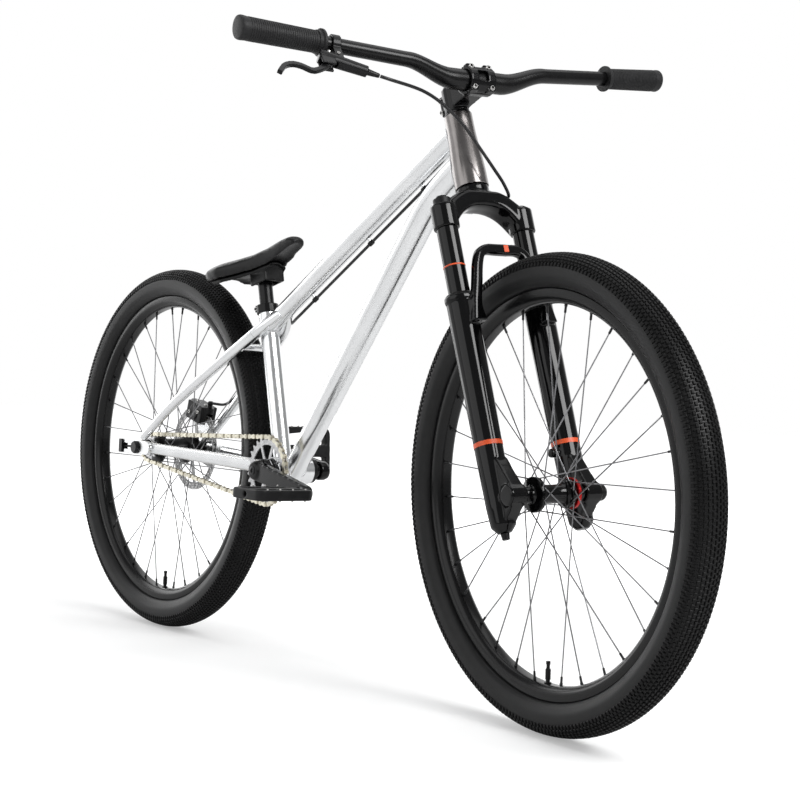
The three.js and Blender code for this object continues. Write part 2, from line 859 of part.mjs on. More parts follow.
// A slotted plate that holds the axle; its slot is open to the rear
function dropout(side) {
  const half = dropoutTall / 2;
  const slot = dropoutSlotHeight / 2;
  const outline = new THREE.Shape();
  outline.moveTo(-dropoutRear, -half);
  outline.lineTo(dropoutFront - half, -half);
  outline.absarc(dropoutFront - half, 0, half, -Math.PI / 2, Math.PI / 2, false);
  outline.lineTo(-dropoutRear, half);
  outline.lineTo(-dropoutRear, slot);
  outline.lineTo(dropoutSlotFront, slot);
  outline.absarc(dropoutSlotFront, 0, slot, Math.PI / 2, -Math.PI / 2, true);
  outline.lineTo(-dropoutRear, -slot);
  const plate = toSideView(slab(outline, dropoutThickness));
  const middle = dropoutInside + dropoutThickness / 2;
  plate.translate(0, side * middle, wheelRadius);
  if (side < 0) return plate;
  const tab = [
    [-dropoutFront / 2, half - overrun],
    [brakeTabWide, half - overrun],
    [brakeTabWide, brakeTabHeight - half],
    [brakeTabWide - half, brakeTabHeight],
    [0, brakeTabHeight],
    [-dropoutFront / 2, brakeTabHeight / 2],
  ];
  const raised = toSideView(slab(tab, dropoutThickness)).translate(0, middle, wheelRadius);
  return join(plate, raised);
}

function trimmedStay(stay, side) {
  const half = dropoutTall / 2 + seatGap;
  const length = dropoutRear + dropoutFront;
  const thick = dropoutThickness + 2 * seatGap;
  const middle = side * (dropoutInside + dropoutThickness / 2);
  const centre = point((dropoutFront - dropoutRear) / 2, middle, wheelRadius);
  const plate = block(length + 2 * seatGap, thick, 2 * half, centre);
  if (side < 0) return cut(stay, plate);
  const tabCentre = point(
    (brakeTabWide - dropoutFront / 2) / 2,
    middle,
    wheelRadius + brakeTabHeight / 2,
  );
  const tab = block(
    brakeTabWide + dropoutFront / 2 + 2 * seatGap,
    thick,
    brakeTabHeight + 2 * seatGap,
    tabCentre,
  );
  return cut(stay, plate, tab);
}

// A cap over the dropout's open end, with a screw that reaches the axle
function chainTensioner(side) {
  const middle = side * (dropoutInside + dropoutThickness / 2);
  const cap = block(
    tensionerLength,
    tensionerWide,
    dropoutTall,
    point(-dropoutRear - tensionerLength / 2 - seatGap, middle, wheelRadius),
  );
  const screwEnd = point(-rearAxleRadius - seatGap, middle, wheelRadius);
  const screwStart = point(-dropoutRear - tensionerLength, middle, wheelRadius);
  return join(cap, rod(screwStart, screwEnd, tensionerScrewRadius, tensionerScrewRadius, tinySides));
}

function rearAxle() {
  const half = dropoutInside + dropoutThickness;
  return turned([[0, -half], [rearAxleRadius, -half], [rearAxleRadius, half], [0, half]], boreSides);
}

function axleBolt(side) {
  const start = side * (dropoutInside + dropoutThickness + seatGap);
  const end = start + side * axleBoltHead;
  const profile = [
    [0, start],
    [axleBoltRadius, start],
    [axleBoltRadius, (start + end) / 2],
    [axleBoltRadius - axleBoltHead / 3, end],
    [0, end],
  ];
  return turned(profile, boreSides);
}

function crankCup(side) {
  const start = side * (crankShellWidth / 2 + seatGap);
  const end = start + side * cupWidth;
  const inner = spindleRadius + runningGap;
  const profile = [[inner, start], [cupRadius, start], [cupRadius, end], [inner, end]];
  return turnedRing(profile, boreSides).translate(crankAhead, 0, crankHeight);
}

function seatClamp() {
  const axis = onSeatTube(seatTubeTop + clampHeight).sub(onSeatTube(seatTubeTop)).normalize();
  const base = onSeatTube(seatTubeTop).addScaledVector(axis, seatGap - clampHeight / 2);
  const top = base.clone().addScaledVector(axis, clampHeight);
  const middle = base.clone().lerp(top, 0.5);
  const ear = block(
    clampEarLength,
    clampEarWide,
    clampEarTall,
    middle.clone().add(point(-clampRadius, 0, 0)),
  );
  const boltHalf = point(0, clampEarWide / 2 + overrun, 0);
  const boltPlace = middle.clone().add(point(-clampRadius - clampEarLength / 4, 0, 0));
  const bolt = rod(
    boltPlace.clone().sub(boltHalf),
    boltPlace.clone().add(boltHalf),
    clampBoltRadius,
    clampBoltRadius,
    tinySides,
  );
  const slot = block(
    clampRadius + clampEarLength,
    clampSlot,
    2 * clampHeight,
    middle.clone().add(point(-clampRadius, 0, 0)),
  );
  const past = axis.clone().multiplyScalar(overrun);
  const post = rod(base.clone().sub(past), top.clone().add(past), seatpostRadius + seatGap);
  const tube = rod(
    onSeatTube(crankHeight),
    onSeatTube(seatTubeTop).addScaledVector(axis, seatGap),
    seatTubeRadius + seatGap,
  );
  const ring = cut(join(rod(base, top, clampRadius), ear), slot, post, tube);
  return join(ring, bolt);
}

function seatpost() {
  const axis = onSeatTube(seatTubeTop + clampHeight).sub(onSeatTube(seatTubeTop)).normalize();
  const bottom = onSeatTube(seatTubeTop).addScaledVector(axis, -seatpostInsertion);
  const top = onSeatTube(seatpostTop - saddleHeadRadius);
  const head = saddlePivot.clone();
  const half = point(0, saddleHeadWide / 2, 0);
  const barrel = rod(
    head.clone().sub(half),
    head.clone().add(half),
    saddleHeadRadius,
    saddleHeadRadius,
    boreSides,
  );
  const neck = head.clone().sub(point(0, 0, saddleHeadRadius / 2));
  return join(rod(bottom, top, seatpostRadius), rod(top, neck, seatpostRadius), barrel);
}

// Half widths and drops of the saddle from tail to nose, as shares of its size
const saddleStationShares = [
  { at: 0.0, wide: 0.5, drop: 0.5, top: -1.2, deep: 0.35 },
  { at: 0.05, wide: 0.82, drop: 0.8, top: 0.2, deep: 0.6 },
  { at: 0.14, wide: 0.98, drop: 1.0, top: 0.5, deep: 0.72 },
  { at: 0.26, wide: 1.0, drop: 1.05, top: 0.2, deep: 0.75 },
  { at: 0.4, wide: 0.78, drop: 0.9, top: -0.2, deep: 0.8 },
  { at: 0.53, wide: 0.54, drop: 0.6, top: -0.4, deep: 0.9 },
  { at: 0.68, wide: 0.36, drop: 0.35, top: 0.0, deep: 1.0 },
  { at: 0.84, wide: 0.3, drop: 0.16, top: 0.6, deep: 0.85 },
  { at: 0.94, wide: 0.27, drop: 0.05, top: 0.5, deep: 0.65 },
  { at: 0.985, wide: 0.2, drop: 0.0, top: -0.3, deep: 0.45 },
  { at: 1.0, wide: 0.1, drop: 0.0, top: -1.4, deep: 0.2 },
];
const saddleSectionShares = [0, 0.4, 0.75, 1];

// Points across the saddle at one station, dropped below its top skin
function saddleAcross(station, lift, inset) {
  const half = ((station.wide * saddleWidth) / 2) * (1 - inset);
  const top = saddleTopRise + station.top * saddleCrown - lift;
  return [-1, 1].flatMap((side) => {
    const shares = side < 0 ? [...saddleSectionShares].reverse() : saddleSectionShares.slice(1);
    return shares.map((share) => {
      const fall = station.drop * saddleWingDrop * share ** 3 + saddleCrown * share ** 2;
      return point(station.at * saddleLength - saddleTailReach, side * half * share, top - fall);
    });
  });
}

function saddleSkin(startLift, endLift, startInset, endInset, startShare, endShare) {
  const inside = saddleStationShares.filter((station) => station.at >= startShare && station.at <= endShare);
  const sections = inside.map((station) => {
    const upper = saddleAcross(station, startLift(station), startInset);
    const lower = saddleAcross(station, endLift(station), endInset).reverse();
    return [...upper, ...lower];
  });
  return loft(sections);
}

// Rings of points joined one to the next, closed at both ends
function loft(rings) {
  const places = [];
  const face = (a, b, c) => [a, b, c].forEach((spot) => places.push(spot.x, spot.y, spot.z));
  rings.slice(1).forEach((ring, i) => {
    const before = rings[i];
    ring.forEach((spot, j) => {
      const next = (j + 1) % ring.length;
      face(before[j], spot, ring[next]);
      face(before[j], ring[next], before[next]);
    });
  });
  [rings[0], rings.at(-1)].forEach((ring, end) => {
    for (let j = 1; j < ring.length - 1; j += 1) {
      if (end === 0) face(ring[0], ring[j], ring[j + 1]);
      else face(ring[0], ring[j + 1], ring[j]);
    }
  });
  const geometry = new THREE.BufferGeometry();
  geometry.setAttribute("position", new THREE.Float32BufferAttribute(places, 3));
  return geometry;
}

const atSaddle = (geometry) => geometry.rotateY(radians(-saddleTilt)).translate(
  saddlePivot.x,
  0,
  saddlePivot.z,
);

const saddlePad = (station) => station.deep * saddleDepth;
const saddleCover = () => atSaddle(saddleSkin(() => 0, saddlePad, 0, saddleTuck, 0, 1));

function saddleBase() {
  const under = (station) => saddlePad(station) + seatGap;
  const below = (station) => under(station) + saddleBaseWall;
  const skin = saddleSkin(under, below, 2 * saddleTuck, 3 * saddleTuck, ...saddleBaseShares);
  const top = saddleTopRise - saddleDepth - saddleBaseWall / 2;
  const tall = top + saddleHeadRadius + saddleBaseWall;
  const cheeks = [-1, 1].map((side) => {
    const middle = side * (saddleHeadWide / 2 + runningGap + saddleBaseWall / 2);
    return block(saddleCheekLength, saddleBaseWall, tall, point(saddleCheekAhead, middle, top - tall / 2));
  });
  const front = point(saddleCheekAhead + saddleCheekLength / 2 - saddleBaseWall / 2, 0, top - tall / 2);
  const wall = block(saddleBaseWall, saddleHeadWide + 2 * runningGap + 2 * saddleBaseWall, tall, front);
  const seated = saddleSkin(() => 0, under, 0, saddleTuck, 0, 1);
  return atSaddle(cut(join(skin, ...cheeks, wall), seated));
}

// Wheels, built about their own axle
function tyre() {
  const half = tyreWidth / 2;
  const bead = rimWidth / 2 - rimFlange - seatGap;
  const outerShares = [
    [0.03, 0.47],
    [0.22, 0.84],
    [0.55, 1.0],
    [0.83, 0.8],
    [0.965, 0.4],
    [1.0, 0.0],
  ];
  const innerShares = [
    [0.5, 1.0],
    [0.88, 0.6],
  ];
  const outer = outerShares.map(([rise, wide]) => [rimOuterRadius + rise * tyreHeight, wide * half]);
  const inner = innerShares.map(
    ([rise, wide]) => [rimOuterRadius + rise * (tyreHeight - tyreWall), wide * (half - tyreWall)],
  );
  const beadFoot = [beadSeatRadius + seatGap, bead];
  const beadInner = [beadSeatRadius + seatGap, bead - tyreWall];
  const right = [...inner].reverse().concat([beadInner, beadFoot], outer.slice(0, -1));
  const flip = (pairs) => pairs.map(([radius, place]) => [radius, -place]);
  const profile = [...right, outer.at(-1), ...flip(right).reverse()];
  return turnedRing(profile, wheelSides);
}

function rim() {
  const half = rimWidth / 2;
  const side = [
    [rimInnerRadius, rimBedWidth / 2],
    [rimOuterRadius - rimWellDepth, half],
    [rimOuterRadius, half],
    [rimOuterRadius, half - rimFlange],
    [beadSeatRadius, half - rimFlange],
    [beadSeatRadius - rimWellDepth * rimBedShare, rimBedWidth / 2 - rimFlange],
  ];
  const flip = side.map(([radius, place]) => [radius, -place]);
  const ring = turnedRing([...side, ...flip.reverse()], wheelSides);
  const hole = rod(
    point(0, 0, -rimOuterRadius),
    point(0, 0, -rimInnerRadius + overrun),
    valveRadius + seatGap,
    valveRadius + seatGap,
    tinySides,
  );
  return cut(ring, hole);
}

function valve() {
  const seat = -(beadSeatRadius - rimWellDepth * rimBedShare) + seatGap - valveStep;
  const tip = -(rimInnerRadius - valveLength + rimWellDepth);
  const neck = tip - valveLength / 4;
  const stem = rod(point(0, 0, seat), point(0, 0, neck), valveRadius, valveRadius, tinySides);
  return join(
    stem,
    rod(
      point(0, 0, neck - overrun),
      point(0, 0, tip),
      valveRadius - valveStep,
      valveRadius - valveStep,
      tinySides,
    ),
  );
}

// Crossed spokes from one flange to the rim
function flangeSpokes(flangePlace, flangeRadius, side) {
  const count = spokeCount / 2;
  const holeRadius = flangeRadius - spokeHoleInset;
  const reach = rimInnerRadius * Math.cos(Math.PI / wheelSides) - seatGap;
  const phase = side > 0 ? spokePhaseShares[0] : spokePhaseShares[1];
  return around(count, (angle, i) => {
    const way = i % 2 === 0 ? 1 : -1;
    const rimAngle = angle + (phase * 2 * Math.PI) / count;
    const hubAngle = rimAngle + way * radians(spokeCrossTurn);
    const hubPlace = flangePlace + way * spokeLacingOffset;
    const rimPlace = (side * spokeRimSpread) / 2 + way * spokeLacingOffset;
    const from = point(holeRadius * Math.cos(hubAngle), hubPlace, holeRadius * Math.sin(hubAngle));
    const to = point(reach * Math.cos(rimAngle), rimPlace, reach * Math.sin(rimAngle));
    return rod(from, to, spokeRadius, spokeRadius, spokeSides);
  });
}

function flange(place, radius, thickness, core) {
  const half = thickness / 2;
  return [
    [core, place - 2 * half],
    [radius, place - half],
    [radius, place + half],
    [core, place + 2 * half],
  ];
}

function frontHub() {
  const end = frontHubWidth / 2;
  const bore = frontAxleRadius + runningGap;
  const profile = [
    [bore, -end],
    [frontHubCap, -end],
    [frontHubCap, -frontFlangeRight - 2 * frontFlangeThickness],
    ...flange(-frontFlangeRight, frontFlangeRadius, frontFlangeThickness, frontHubCore),
    ...flange(frontFlangeLeft, frontFlangeLeftRadius, frontFlangeThickness, frontHubCore),
    [frontHubCore, end - frontFlangeThickness],
    [frontHubCap, end - frontFlangeThickness],
    [frontHubCap, end],
    [bore, end],
  ];
  const shell = turnedRing(profile, boreSides);
  const spokes = [
    ...flangeSpokes(-frontFlangeRight, frontFlangeRadius, -1),
    ...flangeSpokes(frontFlangeLeft, frontFlangeLeftRadius, 1),
  ];
  return join(shell, ...spokes);
}

function rearHub() {
  const end = rearHubWidth / 2;
  const bore = rearAxleRadius + runningGap;
  const cogStart = chainLine - cogCarrierHalf() - runningGap;
  const profile = [
    [bore, -end],
    [rearHubCap - rearAxleRadius / 2, -end],
    [rearHubCap, -end + rearAxleRadius],
    [rearHubCap, -cogStart],
    [rearHubCore, -cogStart],
    ...flange(-rearFlangeRight, rearFlangeRadius, rearFlangeThickness, rearHubCore),
    ...flange(rearFlangeLeft, rearFlangeRadius, rearFlangeThickness, rearHubCore),
    [rotorCarrierRadius, rotorOffset - rotorThickness / 2 - 2 * rearFlangeThickness],
    [rotorCarrierRadius, rotorOffset - rotorThickness / 2 - seatGap],
    [rearHubCap, rotorOffset - rotorThickness / 2 - seatGap],
    [rearHubCap, end],
    [bore, end],
  ];
  const shell = turnedRing(profile, boreSides);
  const spokes = [
    ...flangeSpokes(-rearFlangeRight, rearFlangeRadius, -1),
    ...flangeSpokes(rearFlangeLeft, rearFlangeRadius, 1),
  ];
  return join(shell, ...spokes);
}

// A disc with a braking band, leaning arms and a centre bolted to the hub
function brakeRotor() {
  const bandInner = rotorRadius - rotorBand;
  const centreInner = rearHubCap + seatGap;
  const flatRing = (outer, inner) => {
    const half = rotorThickness / 2;
    return turnedRing([[inner, -half], [outer, -half], [outer, half], [inner, half]], wheelSides);
  };
  const arms = around(rotorArms, (angle) => {
    const lean = angle + radians(rotorArmLean);
    const inner = rotorCarrierRadius * rotorArmStartShare;
    const start = point(inner * Math.cos(angle), 0, inner * Math.sin(angle));
    const outer = bandInner + rotorBand / 3;
    const end = point(outer * Math.cos(lean), 0, outer * Math.sin(lean));
    const arm = block(start.distanceTo(end), rotorThickness, rotorArmWide, point(0, 0, 0));
    const tilt = Math.atan2(end.z - start.z, end.x - start.x);
    const middle = start.clone().lerp(end, 0.5);
    return arm.rotateY(-tilt).translate(middle.x, middle.y, middle.z);
  });
  const disc = join(flatRing(rotorRadius, bandInner), flatRing(rotorCarrierRadius, centreInner), ...arms);
  return disc.translate(0, rotorOffset, 0);
}

// Sprockets
const pitchRadius = (teeth) => chainPitch / (2 * Math.sin(Math.PI / teeth));
const cogCarrierHalf = () => toothThickness * 1.5;

// Teeth stand between the rollers: a valley under each roller, a flat tip between two
function sprocketOutline(teeth) {
  const pitch = pitchRadius(teeth);
  const valley = pitch - rollerRadius - toothClearance;
  const tip = pitch + toothHeight / 2;
  const step = (2 * Math.PI) / teeth;
  const corners = around(teeth, (angle) => [
    [valley, angle - step * toothValleyShare],
    [valley, angle + step * toothValleyShare],
    [tip, angle + step * toothTipShares[0]],
    [tip, angle + step * toothTipShares[1]],
  ]);
  return shapeThrough(
    corners.flat().map(([radius, angle]) => [radius * Math.cos(angle), radius * Math.sin(angle)]),
  );
}

function ringWindow(angle) {
  const outer = pitchRadius(ringTeeth) - rollerRadius - ringBand;
  const inner = ringCentre;
  const half = Math.PI / ringWindows;
  const narrow = (radius) => half - ringSpokeWide / 2 / radius;
  const corners = windowEdgeShares.map((share) => [outer, angle + share * narrow(outer)]);
  const inside = [1, -1].map((share) => [inner, angle + share * narrow(inner)]);
  const pairs = [...corners, ...inside].map(
    ([radius, turn]) => [radius * Math.cos(turn), radius * Math.sin(turn)],
  );
  return toSideView(slab(pairs, 2 * toothThickness));
}

function chainring() {
  const windows = around(ringWindows, (angle) => ringWindow(angle));
  const past = point(0, 2 * toothThickness, 0);
  const bore = rod(mirrored(past, -1), past, spindleRadius + seatGap);
  const plate = toSideView(slab(sprocketOutline(ringTeeth), toothThickness));
  const whole = cut(plate, bore, ...windows).rotateY(-chainPath().ringPhase - radians(crankDip));
  return whole.translate(0, -chainLine, 0);
}

function rearCog() {
  const half = cogCarrierHalf();
  const plate = toSideView(slab(sprocketOutline(cogTeeth), toothThickness));
  const carrier = turned(
    [[0, -half], [cogCarrierRadius, -half], [cogCarrierRadius, half], [0, half]],
    boreSides,
  );
  const bore = turned([[0, -2 * half], [cogBore, -2 * half], [cogBore, 2 * half], [0, 2 * half]], boreSides);
  return cut(join(plate, carrier), bore).rotateY(-chainPath().cogPhase).translate(0, -chainLine, 0);
}

// The chain's path round both sprockets: straight runs between two arcs.
// On an arc one link takes one tooth's share of the turn; the straight runs take up what is left.
function chainPath() {
  const ring = pitchRadius(ringTeeth);
  const cog = pitchRadius(cogTeeth);
  const rise = wheelRadius - crankHeight;
  const span = Math.hypot(crankAhead, rise);
  const slope = Math.atan2(-rise, crankAhead);
  const open = Math.asin((ring - cog) / span);
  const straight = span * Math.cos(open);
  const ringRate = (2 * Math.PI) / (ringTeeth * chainPitch);
  const cogRate = (2 * Math.PI) / (cogTeeth * chainPitch);
  const ringArc = (Math.PI + 2 * open) / ringRate;
  const cogArc = (Math.PI - 2 * open) / cogRate;
  const links = 2 * Math.round((2 * straight + ringArc + cogArc) / (2 * chainPitch));
  const length = links * chainPitch;
  const run = (length - ringArc - cogArc) / 2;
  const spot = (centre, radius, angle) => point(
    centre.x + radius * Math.cos(angle),
    0,
    centre.z + radius * Math.sin(angle),
  );
  const cogCentre = point(0, 0, wheelRadius);
  const topAngle = slope + Math.PI / 2 + open;
  const lowAngle = slope - Math.PI / 2 - open;
  const place = (distance) => {
    let left = ((distance % length) + length) % length;
    if (left < ringArc) return spot(crankCentre, ring, topAngle - left * ringRate);
    left -= ringArc;
    if (left < run) {
      return spot(crankCentre, ring, lowAngle).lerp(spot(cogCentre, cog, lowAngle), left / run);
    }
    left -= run;
    if (left < cogArc) return spot(cogCentre, cog, lowAngle - left * cogRate);
    left -= cogArc;
    return spot(cogCentre, cog, topAngle).lerp(spot(crankCentre, ring, topAngle), left / run);
  };
  const toCog = ringArc + run;
  const cogPhase = lowAngle - (Math.ceil(toCog / chainPitch) * chainPitch - toCog) * cogRate;
  return { links, place, ringPhase: topAngle, cogPhase };
}

// Side plates of the chain as one wavy strip: wide at each pin, drawn in between, inner and outer in turn
function chainStrip(side) {
  const { links, place } = chainPath();
  const rings = [];
  for (let i = 0; i < 2 * links; i += 1) {
    const distance = (i * chainPitch) / 2;
    const spot = place(distance);
    const ahead = place(distance + chainPitch / 8);
    const behind = place(distance - chainPitch / 8);
    const run = ahead.sub(behind).normalize();
    const out = point(-run.z, 0, run.x);
    const waist = i % 2 === 1;
    const outerLink = i % 4 === 1;
    const tall = (linkTall / 2) * (waist ? linkWaistShare : 1);
    const shift = waist ? (outerLink ? linkStep / 2 : -linkStep / 2) : 0;
    const near = side * (linkInnerWidth / 2 + linkStep / 2 + shift);
    const far = near + side * linkPlate;
    const corner = (rise, across) => spot.clone().addScaledVector(out, rise).add(point(0, across, 0));
    rings.push([corner(tall, near), corner(tall, far), corner(-tall, far), corner(-tall, near)]);
  }
  return loop(rings);
}

// Rings of points joined one to the next and the last to the first
function loop(rings) {
  const places = [];
  const face = (a, b, c) => [a, b, c].forEach((spot) => places.push(spot.x, spot.y, spot.z));
  rings.forEach((ring, i) => {
    const after = rings[(i + 1) % rings.length];
    ring.forEach((spot, j) => {
      const next = (j + 1) % ring.length;
      face(spot, after[j], after[next]);
      face(spot, after[next], ring[next]);
    });
  });
  const geometry = new THREE.BufferGeometry();
  geometry.setAttribute("position", new THREE.Float32BufferAttribute(places, 3));
  return geometry;
}

function chain() {
  const { links, place } = chainPath();
  const half = linkInnerWidth / 2 + linkStep / 2 + linkPlate / 2;
  const pins = [];
  for (let i = 0; i < links; i += 1) {
    const spot = place(i * chainPitch);
    pins.push(
      rod(
        spot.clone().add(point(0, -half, 0)),
        spot.clone().add(point(0, half, 0)),
        pinRadius,
        pinRadius,
        pinSides,
      ),
    );
  }
  return join(chainStrip(-1), chainStrip(1), ...pins).translate(0, -chainLine, 0);
}

// Crank arms, built with the arm forward along X and the spindle on the Y axis
function crankArmBody(side) {
  const start = side * crankInside;
  const middle = start + (side * crankArmThickness) / 2;
  const root = crankArmRootWide / 2;
  const tip = crankArmTipWide / 2;
  const outline = new THREE.Shape();
  outline.absarc(0, 0, root, Math.PI / 2, (3 * Math.PI) / 2, false);
  outline.absarc(crankLength, 0, tip, -Math.PI / 2, Math.PI / 2, false);
  const flare = new THREE.Matrix4();
  flare.elements[1] = (side * crankArmFlare) / crankLength;
  const arm = toSideView(slab(outline, crankArmThickness, 4)).applyMatrix4(flare).translate(0, middle, 0);
  const boss = rod(
    point(0, start, 0),
    point(0, start + side * (crankArmThickness + crankCapDepth), 0),
    crankCapRadius,
  );
  const outer = start + side * (crankArmThickness + crankArmFlare);
  const axleStart = point(crankLength, outer - side * overrun, 0);
  const flangeEnd = point(crankLength, outer + side * pedalGap, 0);
  const axleEnd = point(crankLength, outer + side * (pedalGap + pedalWide - pedalRim), 0);
  const pedalFlange = rod(axleStart, flangeEnd, pedalAxleFlange, pedalAxleFlange, smallSides);
  const axle = rod(axleStart, axleEnd, pedalAxleRadius, pedalAxleRadius, smallSides);
  return join(arm, boss, pedalFlange, axle);
}

function crankArmRight() {
  const end = crankInside + overrun;
  const spindle = rod(
    point(0, -crankInside - overrun, 0),
    point(0, end, 0),
    spindleRadius,
    spindleRadius,
    boreSides,
  );
  const spider = rod(
    point(0, -crankInside - overrun, 0),
    point(0, -chainLine - toothThickness / 2 - seatGap, 0),
    ringCentre,
    ringCentre,
  );
  return join(crankArmBody(-1), spindle, spider);
}

function crankArmLeft() {
  const mouth = point(0, crankInside - 2 * overrun, 0);
  const socket = rod(mouth, point(0, crankInside + overrun + seatGap, 0), spindleRadius + seatGap);
  const arm = cut(crankArmBody(1), socket);
  return arm.rotateY(Math.PI);
}

// A platform pedal: a barrel on the axle, a rim with rounded corners and windows between them
function pedal() {
  const long = pedalLong / 2;
  const wide = pedalWide / 2;
  const outline = new THREE.Shape();
  outline.absarc(long - pedalCorner, wide - pedalCorner, pedalCorner, 0, Math.PI / 2, false);
  outline.absarc(pedalCorner - long, wide - pedalCorner, pedalCorner, Math.PI / 2, Math.PI, false);
  outline.absarc(pedalCorner - long, pedalCorner - wide, pedalCorner, Math.PI, (3 * Math.PI) / 2, false);
  outline.absarc(long - pedalCorner, pedalCorner - wide, pedalCorner, (3 * Math.PI) / 2, 2 * Math.PI, false);
  const windowFar = long - pedalRim;
  const windowNear = pedalBarrelRadius + pedalGap / 2;
  const windowHalf = wide - pedalRim;
  const windows = [-1, 1].flatMap((side) =>
    [-1, 1].map((end) => {
      const near = side * windowNear;
      const far = side * windowFar;
      const middle = (end * pedalRim) / 3;
      const outer = end * windowHalf;
      const corners = [
        [near, middle],
        [far, middle],
        [far - side * pedalGap, outer],
        [near, outer],
      ];
      return slab(corners, 2 * pedalThickness);
    }),
  );
  const body = cut(slab(outline, pedalThickness, 3), ...windows);
  const barrel = rod(point(0, -wide, 0), point(0, wide, 0), pedalBarrelRadius, pedalBarrelRadius, smallSides);
  const bore = rod(
    point(0, -wide - overrun, 0),
    point(0, wide + overrun, 0),
    pedalAxleRadius + runningGap,
    pedalAxleRadius + runningGap,
    smallSides,
  );
  return cut(join(body, barrel), bore);
}

// Fork, built in the steering frame: X forward of the steering axis, Z along it
const legPoint = (side, place) => point(legOffset, side * legSpread, place);

function crown() {
  const under = crownBottom + crownArchRise;
  const outline = new THREE.Shape();
  outline.moveTo(-legSpread - crownShoulder / 4, crownBottom);
  outline.lineTo(-legSpread + crownShoulder / 2, crownBottom);
  outline.quadraticCurveTo(-legSpread + crownShoulder, under, 0, under);
  outline.quadraticCurveTo(legSpread - crownShoulder, under, legSpread - crownShoulder / 2, crownBottom);
  outline.lineTo(legSpread + crownShoulder / 4, crownBottom);
  outline.lineTo(legSpread + crownShoulder / 4, crownLegTop);
  outline.quadraticCurveTo(
    legSpread - crownShoulder,
    crownTop - 2 * crownRaceHeight,
    crownRaceRadius,
    crownTop - crownRaceHeight,
  );
  outline.lineTo(-crownRaceRadius, crownTop - crownRaceHeight);
  outline.quadraticCurveTo(
    crownShoulder - legSpread,
    crownTop - 2 * crownRaceHeight,
    -legSpread - crownShoulder / 4,
    crownLegTop,
  );
  const bridgeBody = toFrontView(slab(outline, crownDepth, 4)).translate(legOffset / 2, 0, 0);
  const clamps = [-1, 1].map((side) =>
    rod(
      legPoint(side, crownBottom),
      legPoint(side, crownLegTop),
      crownClampRadius,
      crownClampRadius,
      legSides,
    ),
  );
  const race = rod(point(0, 0, crownTop - 2 * crownRaceHeight), point(0, 0, crownTop), crownRaceRadius);
  const taper = rod(
    point(0, 0, crownTop - overrun),
    point(0, 0, headTubeStart + 3 * crownRaceHeight),
    steererTaperRadius,
    steererRadius,
  );
  const steerer = rod(point(0, 0, crownTop), point(0, 0, stemStart + stemHeight - overrun), steererRadius);
  const bores = [-1, 1].map((side) =>
    rod(
      legPoint(side, crownBottom - overrun),
      legPoint(side, crownTop),
      stanchionRadius + seatGap,
      stanchionRadius + seatGap,
      legSides,
    ),
  );
  const hollow = rod(
    point(0, 0, crownBottom),
    point(0, 0, stemStart + stemHeight),
    steererBore,
    steererBore,
    smallSides,
  );
  return cut(join(bridgeBody, ...clamps, race, taper, steerer), ...bores, hollow);
}

function stanchion(side) {
  const tube = rod(
    legPoint(side, stanchionStart),
    legPoint(side, crownLegTop),
    stanchionRadius,
    stanchionRadius,
    legSides,
  );
  const inside = stanchionRadius - stanchionWall;
  const bore = rod(
    legPoint(side, stanchionStart - overrun),
    legPoint(side, crownBottom),
    inside,
    inside,
    smallSides,
  );
  const hollow = cut(tube, bore);
  if (side < 0) return hollow;
  const cap = rod(
    legPoint(side, crownLegTop - overrun),
    legPoint(side, crownLegTop + airCapHeight),
    knobRadius,
    knobRadius,
  );
  return join(hollow, cap);
}

function compressionKnob() {
  const start = crownLegTop + seatGap;
  const base = rod(
    legPoint(-1, start),
    legPoint(-1, start + knobHeight * knobRimShare),
    knobRadius,
    knobRadius,
  );
  const top = rod(
    legPoint(-1, start),
    legPoint(-1, start + knobHeight),
    knobRadius * knobRimShare,
    knobRadius * knobTopShare,
  );
  return join(base, top);
}

function lowerLeg(side) {
  const profile = [
    [0, legFoot],
    [legFootRadius, legFoot],
    [lowerLegTaper * legFootShare, legFoot + legFootRadius],
    [lowerLegTaper, lowerBoreEnd],
    [lowerLegRadius, archFoot],
    [lowerLegRadius, wiperTop - wiperHeight],
    [wiperRadius, wiperTop - wiperHeight],
    [wiperRadius, wiperTop],
    [0, wiperTop],
  ];
  return toUpright(turned(profile, legSides)).translate(legOffset, side * legSpread, 0);
}

// The foot of a leg swells forward to hold the axle
function legDropout(side) {
  const boss = rod(
    point(forkOffset, side * dropoutBossInside, 0),
    point(forkOffset, side * dropoutBossOutside, 0),
    dropoutBossRadius,
    dropoutBossRadius,
  );
  const web = [
    [legOffset - legFootRadius, legFoot + legFootRadius],
    [legOffset + legFootRadius, legFoot + legFootRadius],
    [forkOffset + dropoutBossRadius * bossCornerShare, -dropoutBossRadius * bossCornerShare],
    [forkOffset + dropoutBossRadius * bossCornerShare, dropoutBossRadius * bossCornerShare],
    [legOffset + lowerLegTaper * webCornerShare, lowerBoreEnd + legFootRadius],
    [legOffset - legFootRadius, lowerBoreEnd + legFootRadius],
  ];
  const middle = (side * (dropoutBossInside + dropoutBossOutside)) / 2;
  return [boss, toSideView(slab(web, dropoutWebThickness)).translate(0, middle, 0)];
}

